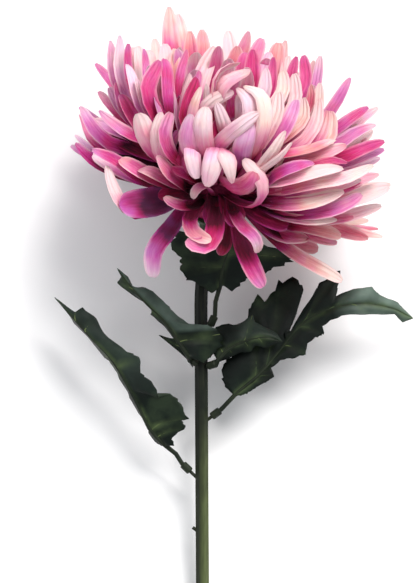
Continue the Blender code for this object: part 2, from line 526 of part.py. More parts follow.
def bent_at_floor(point, stem_drop):
    """Lets a line that would sink into the surface run along it instead."""
    height = point.dot(UP) + stem_drop
    above = (height - LOWEST_LINE) / BEND_SOFTNESS
    if above > BEND_REACH:
        return point
    return point + UP * (LOWEST_LINE + BEND_SOFTNESS * math.log1p(math.exp(above)) - height)


def rule_petal(number, draw):
    """Points and inner-face directions along one petal of the rule, and its width."""
    inward = (number + 0.5) / RULE_PETALS
    turn = number * GOLDEN_ANGLE + draw.uniform(-TURN_JITTER, TURN_JITTER)
    root_cosine = between(((0.0, math.cos(OUTER_ROOT)), (1.0, math.cos(INNER_ROOT))), inward)
    root_lean = math.acos(root_cosine)
    cupped = max(0.0, math.cos(turn - CUP_TURN)) * (1.0 - inward)
    end_lean = math.radians(between(END_ANGLES, inward)) - CUP_LIFT * cupped
    end_lean += draw.uniform(-LEAN_JITTER, LEAN_JITTER)
    swerve = draw.uniform(-SWERVE, SWERVE)
    twist = draw.uniform(-TWIST, TWIST)
    length = between(LENGTHS, inward) * (1.0 + draw.uniform(-LENGTH_JITTER, LENGTH_JITTER))
    length *= 1.0 - CUP_SHORTER * cupped
    point = HEAD_CENTRE + head_direction(root_lean, turn) * ROOT_RADIUS
    points = [point]
    facings = []
    for step in range(PATH_STEPS + 1):
        share = step / PATH_STEPS
        lean = root_lean + (end_lean - root_lean) * share ** CURL
        along = head_direction(lean, turn + swerve * share)
        inner = head_direction(lean - math.pi / 2, turn + swerve * share)
        facings.append(Matrix.Rotation(twist * share, 3, along) @ inner)
        points.append(points[-1] + along * (length / PATH_STEPS))
    return points[:-1], facings, between(WIDTHS, inward)


def seen_at(column, row, depth):
    """The point of the flower that shows at a place of the photographed view, at a depth in mm."""
    spread = SQUARE * (1.0 - depth * MM / VIEW_DISTANCE)
    return VIEW_POINT + Vector(((column - VIEW_MIDDLE[0]) * spread, (VIEW_MIDDLE[1] - row) * spread,
                                depth * MM))


def shaped_petal(guides, look):
    """Points and inner-face directions along a petal that runs from the core through its guides."""
    guides = [seen_at(*guide) for guide in guides]
    root = HEAD_CENTRE + (guides[0] - HEAD_CENTRE).normalized() * ROOT_RADIUS
    points = [smooth_point([root, *guides], step / PATH_STEPS) for step in range(PATH_STEPS + 1)]
    facing = HEAD_CENTRE + HEAD_AXIS * FACING_HEIGHT - points[0]
    facings = []
    for step in range(PATH_STEPS + 1):
        along = (points[min(step + 1, PATH_STEPS)] - points[max(step - 1, 0)]).normalized()
        facing = (facing - along * facing.dot(along)).normalized()
        share = abs(look) * min(1.0, 2.0 * step / PATH_STEPS)
        shown = facing * (1.0 - share) + VIEWER * math.copysign(share, look)
        facings.append((shown - along * shown.dot(along)).normalized())
    return points, facings


def has_room(points, others):
    """Whether a petal keeps clear of other petals' lines along its middle."""
    for share in ROOM_SHARES:
        step = round(share * PATH_STEPS)
        if any((points[step] - line[step]).length < ROOM for line in others):
            return False
    return True


def petal(name, points, facings, width, shape, collection):
    """A closed strap along the points: two edges and a middle line on each face."""
    bm = bmesh.new()
    rings = []
    for share, fullness in shape:
        step = round(share * PATH_STEPS)
        along = (points[step + 1] - points[max(step - 1, 0)]).normalized()
        face = facings[step]
        side = along.cross(face).normalized() * (width * fullness / 2)
        lift = face * (width * fullness * CHANNEL_DEPTH)
        skin = face * (PETAL_THICKNESS / 2)
        middle = points[step]
        corners = (middle - side + lift, middle + skin, middle + side + lift, middle - skin)
        rings.append([bm.verts.new(corner) for corner in corners])
    tip = bm.verts.new(points[-1])
    bm.faces.new(rings[0])
    for low, high in zip(rings, rings[1:]):
        for edge in (0, 2):
            for middle in (1, 3):
                bm.faces.new((low[edge], low[middle], high[middle]))
                bm.faces.new((low[edge], high[middle], high[edge]))
    for corner in range(4):
        bm.faces.new((rings[-1][corner], rings[-1][(corner + 1) % 4], tip))
    return mesh_object(name, bm, collection)


def build_bloom(collection, stem_drop):
    """The core with all petals fused to it, cut flat where they touch the surface."""
    bm = bmesh.new()
    bmesh.ops.create_uvsphere(bm, u_segments=CORE_SEGMENTS, v_segments=CORE_RINGS,
                              radius=CORE_RADIUS, matrix=Matrix.Translation(HEAD_CENTRE))
    bmesh.ops.triangulate(bm, faces=bm.faces)
    bloom = mesh_object("bloom", bm, collection)
    straps = new_collection("petals")
    shaped_lines = []
    for number, (width, look, *guides) in enumerate(SHAPED_PETALS):
        points, facings = shaped_petal(guides, look)
        points = [bent_at_floor(point, stem_drop) for point in points]
        shape = CURLED_SHAPE if len(guides) > CURLED_FROM else SHAPED_SHAPE
        petal(f"shaped_petal_{number}", points, facings, width * MM, shape, straps)
        shaped_lines.append(points)
    draw = random.Random(PETAL_SEED)
    for number in range(RULE_PETALS):
        points, facings, width = rule_petal(number, draw)
        if points[-1].z < FRONT_LIMIT:
            points = [bent_at_floor(point, stem_drop) for point in points]
            if has_room(points, shaped_lines):
                petal(f"petal_{number}", points, facings, width, RULE_SHAPE, straps)
    # After EXACT the bloom touches itself along an edge here, and the cut below leaves edges open
    combine(bloom, straps, "UNION", "MANIFOLD")
    bpy.data.collections.remove(straps)

    cutters = new_collection("cutters")
    middle = UP * (-stem_drop - SURFACE_BLOCK.z / 2)
    bm = bmesh.new()
    bmesh.ops.create_cube(bm, size=1.0, matrix=Matrix.LocRotScale(
        middle, Matrix.Rotation(-LEAN, 3, "X"), SURFACE_BLOCK))
    mesh_object("surface_block", bm, cutters)
    rod("stem_socket", SOCKET_MOUTH, STEM_TOP + HEAD_AXIS * GAP,
        STEM_RADIUS + RIDGE_DEPTH + GAP, SOCKET_SIDES, cutters)
    mark_cutters(cutters)
    combine(bloom, cutters, "DIFFERENCE", "MANIFOLD")
    bpy.data.collections.remove(cutters)
    keep_largest_body(bloom)
    return bloom


def peg_line(leaf):
    """Unit direction of a leaf's peg, and how far from the stem's middle its sleeve starts."""
    aim = Vector(leaf["aim"]).normalized()
    rise = abs(aim.y)
    clear = STEM_RADIUS + RIDGE_DEPTH + 2 * GAP + SLEEVE_RADIUS * rise
    return aim, clear / math.sqrt(1.0 - rise * rise)


def build_stem(collection):
    """A ridged stem whose neck bends into the head's axis, with a peg for each leaf."""
    profile = bpy.data.curves.new("stem_section", "CURVE")
    ring = profile.splines.new("POLY")
    count = 2 * STEM_RIDGES
    ring.points.add(count - 1)
    for i, control in enumerate(ring.points):
        radius = STEM_RADIUS + (RIDGE_DEPTH if i % 2 else 0.0)
        angle = 2 * math.pi * i / count
        control.co = (radius * math.cos(angle), radius * math.sin(angle), 0.0, 1.0)
    ring.use_cyclic_u = True
    section = bpy.data.objects.new("stem_section", profile)
    collection.objects.link(section)

    handle = (NECK_END - STEM_BEND).length / 3
    knots = (STEM_BEND, STEM_BEND + Vector((0.0, handle, 0.0)), NECK_END - HEAD_AXIS * handle, NECK_END)
    path = [STEM_FOOT, STEM_FOOT.lerp(STEM_BEND, 0.5)]
    for step in range(NECK_STEPS + 1):
        t = step / NECK_STEPS
        weights = ((1 - t) ** 3, 3 * t * (1 - t) ** 2, 3 * t ** 2 * (1 - t), t ** 3)
        path.append(sum((knot * weight for knot, weight in zip(knots, weights)), Vector()))
    path.append(STEM_TOP)

    curve = bpy.data.curves.new("stem", "CURVE")
    curve.dimensions = "3D"
    curve.bevel_mode = "OBJECT"
    curve.bevel_object = section
    curve.use_fill_caps = True
    spline = curve.splines.new("POLY")
    spline.points.add(len(path) - 1)
    for control, point in zip(spline.points, path):
        control.co = (*point, 1.0)
    stem = curve_as_mesh("stem", curve, collection)
    bpy.data.objects.remove(section, do_unlink=True)

    pegs = new_collection("pegs")
    for name, leaf in LEAVES.items():
        aim, start = peg_line(leaf)
        joint = Vector(leaf["joint"])
        rod(f"peg_{name}", joint, joint + aim * (start + PEG_IN_SLEEVE), PEG_RADIUS,
            PEG_SIDES, pegs)
    nub_foot = Vector((0.0, NUB_HEIGHT, 0.0))
    rod("nub", nub_foot, nub_foot + NUB_AIM * NUB_REACH, PEG_RADIUS, PEG_SIDES, pegs)
    combine(stem, pegs, "UNION")
    bpy.data.collections.remove(pegs)
    return stem


def build_calyx(collection):
    """A cup turned about the head's axis, from its rim down to the collar round the stem."""
    bore = STEM_RADIUS + RIDGE_DEPTH + GAP
    profile = []
    for step in range(CUP_STEPS + 1):
        angle = CUP_RIM + (CUP_FOOT - CUP_RIM) * step / CUP_STEPS
        profile.append((CUP_OUTER * math.sin(angle), CUP_OUTER * math.cos(angle)))
    profile.append((COLLAR_RADIUS, -COLLAR_END + COLLAR_HEIGHT))
    profile.append((COLLAR_RADIUS - COLLAR_CHAMFER, -COLLAR_END))
    profile.append((bore, -COLLAR_END))
    bottom = math.pi - math.asin(bore / CUP_INNER)
    for step in range(CUP_STEPS + 1):
        angle = bottom + (CUP_RIM - bottom) * step / CUP_STEPS
        profile.append((CUP_INNER * math.sin(angle), CUP_INNER * math.cos(angle)))
    bm = bmesh.new()
    vertices = [bm.verts.new((radius, 0.0, height)) for radius, height in profile]
    for low, high in zip(vertices, vertices[1:] + vertices[:1]):
        bm.edges.new((low, high))
    calyx = mesh_object("calyx", bm, collection)
    screw = calyx.modifiers.new("turn", "SCREW")
    screw.steps = CUP_SIDES
    screw.render_steps = CUP_SIDES
    screw.use_merge_vertices = True
    screw.merge_threshold = WELD
    calyx.data = evaluated_mesh(calyx)
    calyx.modifiers.clear()
    turned = Matrix((HEAD_RIGHT, HEAD_BACK, HEAD_AXIS)).transposed().to_4x4()
    calyx.data.transform(Matrix.Translation(HEAD_CENTRE) @ turned)
    bm = bmesh.new()
    bm.from_mesh(calyx.data)
    bmesh.ops.recalc_face_normals(bm, faces=bm.faces)
    bm.to_mesh(calyx.data)
    bm.free()
    return calyx


def leaf_blade(name, leaf, collection):
    """A lobed, toothed sheet on both sides of a rib, thickened to a solid."""
    rib = [Vector(point) for point in leaf["rib"]]
    rows = []
    for share, left_x, left_y, right_x, right_y in leaf["edges"]:
        spine = smooth_point(rib, share)
        reach_left = Vector((left_x - spine.x, left_y - spine.y, 0.0))
        reach_right = Vector((right_x - spine.x, right_y - spine.y, 0.0))
        rows.append((spine, reach_left, reach_right))
    widest_left = max(row[1].length for row in rows)
    widest_right = max(row[2].length for row in rows)
    bm = bmesh.new()
    strips = []
    for spine, reach_left, reach_right in rows:
        left = reach_left + Vector((0.0, 0.0, leaf["left"] * reach_left.length / widest_left))
        right = reach_right + Vector((0.0, 0.0, leaf["right"] * reach_right.length / widest_right))
        line = (spine + left, spine + left * 0.5, spine, spine + right * 0.5, spine + right)
        strips.append([bm.verts.new(point) for point in line])
    foot = bm.verts.new(rib[0])
    tip = bm.verts.new(rib[-1])
    for low, high in zip(strips, strips[1:]):
        for a in range(4):
            bm.faces.new((low[a], low[a + 1], high[a + 1], high[a]))
    for a in range(4):
        bm.faces.new((foot, strips[0][a + 1], strips[0][a]))
        bm.faces.new((tip, strips[-1][a], strips[-1][a + 1]))
    bmesh.ops.triangulate(bm, faces=bm.faces, quad_method="SHORT_EDGE")
    blade = mesh_object(name, bm, collection)
    solidify = blade.modifiers.new("thickness", "SOLIDIFY")
    solidify.thickness = BLADE_THICKNESS
    solidify.offset = 0.0
    blade.data = evaluated_mesh(blade)
    blade.modifiers.clear()
    return blade


def build_leaf(name, leaf, collection):
    """A blade with its rib and stalk, and a sleeve with a bore for the stem's peg."""
    aim, start = peg_line(leaf)
    joint = Vector(leaf["joint"])
    mouth = joint + aim * start
    sleeve_end = joint + aim * (start + SLEEVE_LENGTH)
    blade = leaf_blade(name, leaf, collection)
    extras = new_collection("leaf_extras")
    rib = [Vector(point) for point in leaf["rib"]]
    inside = joint + aim * (start + PEG_IN_SLEEVE + 2 * GAP + STALK_RADIUS / 2)
    guides = [inside, sleeve_end + aim * STALK_LEAD, *(Vector(point) for point in leaf["stalk"])]
    shares = [RIB_END * step / RIB_STEPS for step in range(RIB_STEPS + 1)]
    line = guides + [smooth_point(rib, share) for share in shares]
    radii = [STALK_RADIUS] * len(guides)
    radii += [STALK_RADIUS + (RIB_TIP_RADIUS - STALK_RADIUS) * share for share in shares]
    tube("rib", line, radii, 0, extras)
    rod("sleeve", mouth, sleeve_end, SLEEVE_RADIUS, SLEEVE_SIDES, extras)
    # EXACT leaves open edges where the rib runs inside the thin blade
    combine(blade, extras, "UNION", "MANIFOLD")
    bpy.data.collections.remove(extras)
    cutters = new_collection("cutters")
    rod("bore", mouth - aim * BORE_LEAD, joint + aim * (start + PEG_IN_SLEEVE + GAP),
        PEG_RADIUS + GAP, PEG_SIDES, cutters)
    mark_cutters(cutters)
    combine(blade, cutters, "DIFFERENCE")
    bpy.data.collections.remove(cutters)
    keep_largest_body(blade)
    return blade


clear_scene()
flower = new_collection("spider_chrysanthemum")
petal_finish = finish_material("petal_fabric", PETAL_FABRIC)
leaf_finish = finish_material("leaf_fabric", LEAF_FABRIC)
stem_finish = finish_material("stem_coating", STEM_COATING)
calyx_finish = finish_material("calyx_plastic", CALYX_PLASTIC)

stem = build_stem(flower)
shade(stem, stem_finish)
drop = -min(vertex.co.dot(UP) for vertex in stem.data.vertices)
calyx = build_calyx(flower)
shade(calyx, calyx_finish)
bloom = build_bloom(flower, drop)
shade(bloom, petal_finish)
pieces = [stem, calyx, bloom]
for leaf_name, leaf_data in LEAVES.items():
    made_leaf = build_leaf(leaf_name, leaf_data, flower)
    shade(made_leaf, leaf_finish)
    pieces.append(made_leaf)

# The origin is under the middle of the lying flower, on the surface that it rests on
lying = bpy.data.objects.new("lying_pose", None)
flower.objects.link(lying)
tilt = Matrix.Rotation(LEAN, 3, "X")
laid = [tilt @ vertex.co for piece in pieces for vertex in piece.data.vertices]
middle_x = (min(p.x for p in laid) + max(p.x for p in laid)) / 2
middle_y = (min(p.y for p in laid) + max(p.y for p in laid)) / 2
lying.location = (-middle_x, -middle_y, drop)
lying.rotation_euler = (LEAN, 0.0, 0.0)
for piece in pieces:
    piece.parent = lying
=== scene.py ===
"""A spider chrysanthemum with fabric petals and leaves on a cut stem, lying face up."""
import math
import random

import bmesh
import bpy
from mathutils import Matrix, Vector, noise as mathnoise


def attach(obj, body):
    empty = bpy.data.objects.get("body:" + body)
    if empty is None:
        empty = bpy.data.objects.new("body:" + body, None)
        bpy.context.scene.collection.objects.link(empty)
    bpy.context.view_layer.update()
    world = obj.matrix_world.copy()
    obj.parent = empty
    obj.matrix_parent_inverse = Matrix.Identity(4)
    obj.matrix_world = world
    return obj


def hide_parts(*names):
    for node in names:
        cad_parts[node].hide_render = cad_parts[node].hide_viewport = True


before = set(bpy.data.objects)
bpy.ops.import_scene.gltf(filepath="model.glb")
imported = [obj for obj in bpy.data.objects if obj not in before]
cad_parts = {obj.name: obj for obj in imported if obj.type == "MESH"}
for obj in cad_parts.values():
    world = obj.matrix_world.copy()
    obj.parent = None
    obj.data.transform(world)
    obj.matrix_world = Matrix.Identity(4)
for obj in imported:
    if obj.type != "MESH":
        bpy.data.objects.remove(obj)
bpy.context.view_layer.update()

# Stem: a steel wire in a ridged plastic coat, moulded in one run and cut to length. It is nearly
# black green under the bloom and more olive towards the cut end, and its left side is painted
# darker as painted shade. The calyx is pushed on to its bent neck, and each leaf is plugged on to
# one of its pegs.

STEM_SPAN = (-0.160, 0.065)  # the coat's colour changes between these places along Y
STEM_PAINTED_SHADE = (-0.0142, -0.0170)  # and is painted darker across X from the first of these to the second: painted shade on the side away from the key light
FLOW_DEPTH = 0.0003  # how deep the streaks of moulded plastic are


def wire(node, inputs):
    """Sets inputs by name or number. Each is a value, a socket or a node, for its first output."""
    for key, value in inputs.items():
        if isinstance(value, bpy.types.Node):
            value = value.outputs[0]
        if isinstance(value, bpy.types.NodeSocket):
            node.id_data.links.new(value, node.inputs[key])
        else:
            node.inputs[key].default_value = value
    return node


def source(tree, kind, **properties):
    """Adds a node that no other node leads to."""
    node = tree.nodes.new(kind)
    for name, value in properties.items():
        setattr(node, name, value)
    return node


def put(kind, inputs, **properties):
    """Adds a node to the tree that its inputs come from."""
    linkable = (bpy.types.Node, bpy.types.NodeSocket)
    tree = next(value.id_data for value in inputs.values() if isinstance(value, linkable))
    return wire(source(tree, kind, **properties), inputs)


def calc(operation, *values):
    return put("ShaderNodeMath", dict(enumerate(values)), operation=operation)


def plus(first, second):
    return calc("ADD", first, second)


def split(vector):
    return put("ShaderNodeSeparateXYZ", {0: vector}).outputs


def grade(value, low, high, to_low=0.0, to_high=1.0):
    """Carries a value from one range to another, and holds it at both ends."""
    return put("ShaderNodeMapRange", {0: value, 1: low, 2: high, 3: to_low, 4: to_high})


def dye(share, first, second):
    """Mixes two colours by a share. The second one can be a plain colour."""
    if isinstance(second, tuple):
        second = (*second, 1.0)
    return put("ShaderNodeMix", {0: share, 6: first, 7: second}, data_type="RGBA").outputs[2]


def colour_steps(value, places, colours):
    """A colour ramp with a colour at each place."""
    ramp = put("ShaderNodeValToRGB", {0: value})
    marks = ramp.color_ramp.elements
    while len(marks) < len(places):
        marks.new(0.5)
    for mark, place, colour in zip(marks, places, colours):
        mark.position = place
        mark.color = (*colour, 1.0)
    return ramp


def noise(where, scale, detail=3.0):
    return put("ShaderNodeTexNoise", {"Vector": where, "Scale": scale, "Detail": detail})


def relief(height, distance, strength):
    return put("ShaderNodeBump", {"Height": height, "Distance": distance, "Strength": strength})


def object_place(tree):
    return source(tree, "ShaderNodeTexCoord").outputs["Object"]


def new_finish(name, roughness, specular):
    """A material with its plain values set. The rest is wired by the piece."""
    finish = bpy.data.materials.new(name)
    finish.use_nodes = True
    shader = finish.node_tree.nodes["Principled BSDF"]
    return finish, finish.node_tree, wire(shader, {"Roughness": roughness, "Specular IOR Level": specular})


def new_effect(name, inputs, outputs):
    """A shader node group for several materials, with named inputs and outputs."""
    effect = bpy.data.node_groups.new(name, "ShaderNodeTree")
    for way, sockets in (("INPUT", inputs), ("OUTPUT", outputs)):
        for label, kind in sockets.items():
            effect.interface.new_socket(label, in_out=way, socket_type="NodeSocket" + kind)
    return effect, source(effect, "NodeGroupInput").outputs


def applied(effect, **inputs):
    return put("ShaderNodeGroup", inputs, node_tree=effect).outputs


def repaint(node_name, finish):
    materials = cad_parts[node_name].data.materials
    materials.clear()
    materials.append(finish)


# Moulded plastic: streaks along the way it flowed, and larger blotches of colour
moulded, given = new_effect("moulded plastic",
                            {"Place": "Vector", "Fineness": "Vector", "Blotches": "Float"},
                            {"Streak": "Float", "Blotch": "Float"})
lengthened = put("ShaderNodeVectorMath", {0: given["Place"], 1: given["Fineness"]}, operation="MULTIPLY")
put("NodeGroupOutput", {"Streak": noise(lengthened, 1.0, 4.0),
                        "Blotch": noise(given["Place"], given["Blotches"])})

stem_coat, tree, shader = new_finish("stem_coat", 0.48, 0.18)
where = object_place(tree)
spot = split(where)
plastic = applied(moulded, Place=where, Fineness=(800.0, 22.0, 800.0), Blotches=60.0)
streak = plastic["Streak"]
height = plus(grade(spot["Y"], *STEM_SPAN), grade(plastic["Blotch"], 0.3, 0.7, -0.06, 0.06))
green = colour_steps(height, (0.0, 0.36, 0.57, 0.8), (
    (0.110, 0.140, 0.050), (0.075, 0.095, 0.036), (0.009, 0.013, 0.008), (0.003, 0.005, 0.004)))
green = dye(grade(streak, 0.45, 0.75, 0.0, 0.6), green, (0.026, 0.032, 0.014))
# Painted shade: the coat's left side is painted nearly black, away from the key light.
green = dye(grade(spot["X"], *STEM_PAINTED_SHADE, 0.0, 0.85), green, (0.004, 0.006, 0.004))
wire(shader, {"Base Color": green, "Normal": relief(streak, FLOW_DEPTH, 0.5)})
repaint("stem", stem_coat)

# Calyx: a moulded green cup under the head. The stem's neck runs through its collar, and its rim
# hides the roots of the lowest petals.


def mottled_plastic(name, fineness, blotches, dark, light):
    """Moulded green plastic for a small piece."""
    finish, tree, shader = new_finish(name, 0.5, 0.18)
    plastic = applied(moulded, Place=object_place(tree), Fineness=(fineness,) * 3, Blotches=blotches)
    green = colour_steps(plastic["Blotch"], (0.3, 0.7), (dark, light))
    wire(shader, {"Base Color": green, "Normal": relief(plastic["Streak"], FLOW_DEPTH, 0.5)})
    return finish


repaint("calyx", mottled_plastic("calyx_plastic", 900.0, 260.0, (0.014, 0.028, 0.012),
                                 (0.040, 0.066, 0.026)))

# Bloom: strap petals stamped from dyed woven polyester, heat-set to a channel and threaded ring
# by ring on to a round core. The outer rings are longest, and the inner ones curl over the middle.
# Their roots are deep magenta, their tips are bleached to cream, and their backs are paler. Petals
# rooted under the head are painted darker further out as painted shade, less so on the head's right,
# and the ring petals are painted paler towards the right as painted light.

MM = 0.001
LEAN = math.radians(7.5)  # the stem rises by this angle from its cut end to the bloom
CUT_END = (-0.014966, -0.160509, 0.003115)  # the middle of the stem's cut end, above the surface
LAID = Matrix.Translation(CUT_END) @ Matrix.Rotation(LEAN, 4, "X")
TURNED = LAID.to_3x3()
HEAD_CENTRE = Vector((0.0065, 0.2344, 0.0193))
HEAD_AXIS = Vector((0.14, 0.78, 0.61)).normalized()
HEAD_RIGHT = (Vector((1.0, 0.0, 0.0)) - HEAD_AXIS * HEAD_AXIS.x).normalized()
HEAD_BACK = HEAD_AXIS.cross(HEAD_RIGHT)
CORE_RADIUS = 0.0168
ROOT_RADIUS = 0.014

GOLDEN_ANGLE = math.radians(137.508)
OUTER_ROOT = math.radians(108.0)  # angle from the axis of the first petal's root
INNER_ROOT = math.radians(8.0)
LEAN_JITTER = math.radians(9.0)
TURN_JITTER = math.radians(4.0)
SWERVE = math.radians(9.0)
TWIST = math.radians(24.0)
LENGTH_JITTER = 0.08
CUP_TURN = math.radians(225.0)  # the rim between the left and the front is cupped upwards
CUP_LIFT = math.radians(70.0)
CUP_SHORTER = 0.12
CURL = 1.5
END_ANGLES = ((0.0, 92.0), (0.15, 70.0), (0.35, 32.0), (0.6, -8.0), (0.8, -42.0), (1.0, -50.0))
LENGTHS = ((0.0, 0.068), (0.3, 0.066), (0.5, 0.062), (0.7, 0.056), (0.85, 0.048), (1.0, 0.038))
WIDTHS = ((0.0, 0.0080), (0.5, 0.0084), (0.8, 0.0078), (1.0, 0.0060))
RING_PALE = 0.40  # a ring petal's paleness in the middle of the head
PAINTED_LIGHT_ACROSS = 0.40  # over this way to the right it grows by 1, as painted light on the side that faces the key light
PALE_JITTER = 0.4
RING_WARM = 0.55  # and the same for its warmth
WARM_ACROSS = 0.12
WARM_JITTER = 0.3
COLOUR_SEED = 31
TIP_SEED = 5
PATH_STEPS = 40
FACE_STEPS = 20  # path steps over which a shaped petal turns its face to the viewer
ROWS = (0, 5, 10, 14, 18, 22, 26, 30, 33, 36, 38, 39, 40)  # path steps with a row of points
SOFT_FULLNESS = 1.1  # makes up for the width that the outline's rounding takes away
PAINTED_SHADE_FROM = math.radians(58.0)  # painted shade: petals rooted past this angle from the axis are painted dark further out,
PAINTED_SHADE_TO = math.radians(90.0)  # most of all past this one,
PAINTED_SHADE_LESS_RIGHT = 0.8  # and by this share less on the head's right side, which faces the key light
TIP_BEND = 0.030  # tips bend in or out by up to this, times the square of the share past TIP_FROM
TIP_FROM = 0.7
SHARPEST = 0.45  # tips are narrower by up to this share, from SHARP_FROM on
SHARP_FROM = 0.7
FACING_HEIGHT = 0.035  # the inner faces look at this point on the axis
ROOM_SHARES = (0.45, 0.7)  # where a ring petal's room beside the shaped ones is measured
BEND_SOFTNESS = 0.0015
BEND_REACH = 8.0
LOWEST_LINE = 0.0006
PETAL_OUTLINE = ((0.0, 0.38), (0.15, 0.60), (0.35, 0.84), (0.55, 0.97), (0.72, 1.0), (0.86, 0.97),
                 (0.93, 0.87), (0.975, 0.66), (1.0, 0.32))

# Each ring set: petals, seed, room that a petal needs beside the shaped ones, share of the length,
# how far inwards the set starts, the depth that its petals end behind, and how much paler they are.
# The last set is the short petals that cover the core.
RING_SETS = ((142, 7, 0.0055, 1.0, 0.0, 0.036, 0.10), (118, 23, 0.0048, 0.93, 0.0, 0.036, 0.10),
             (70, 41, 0.0020, 0.62, 0.5, 0.058, -0.10))

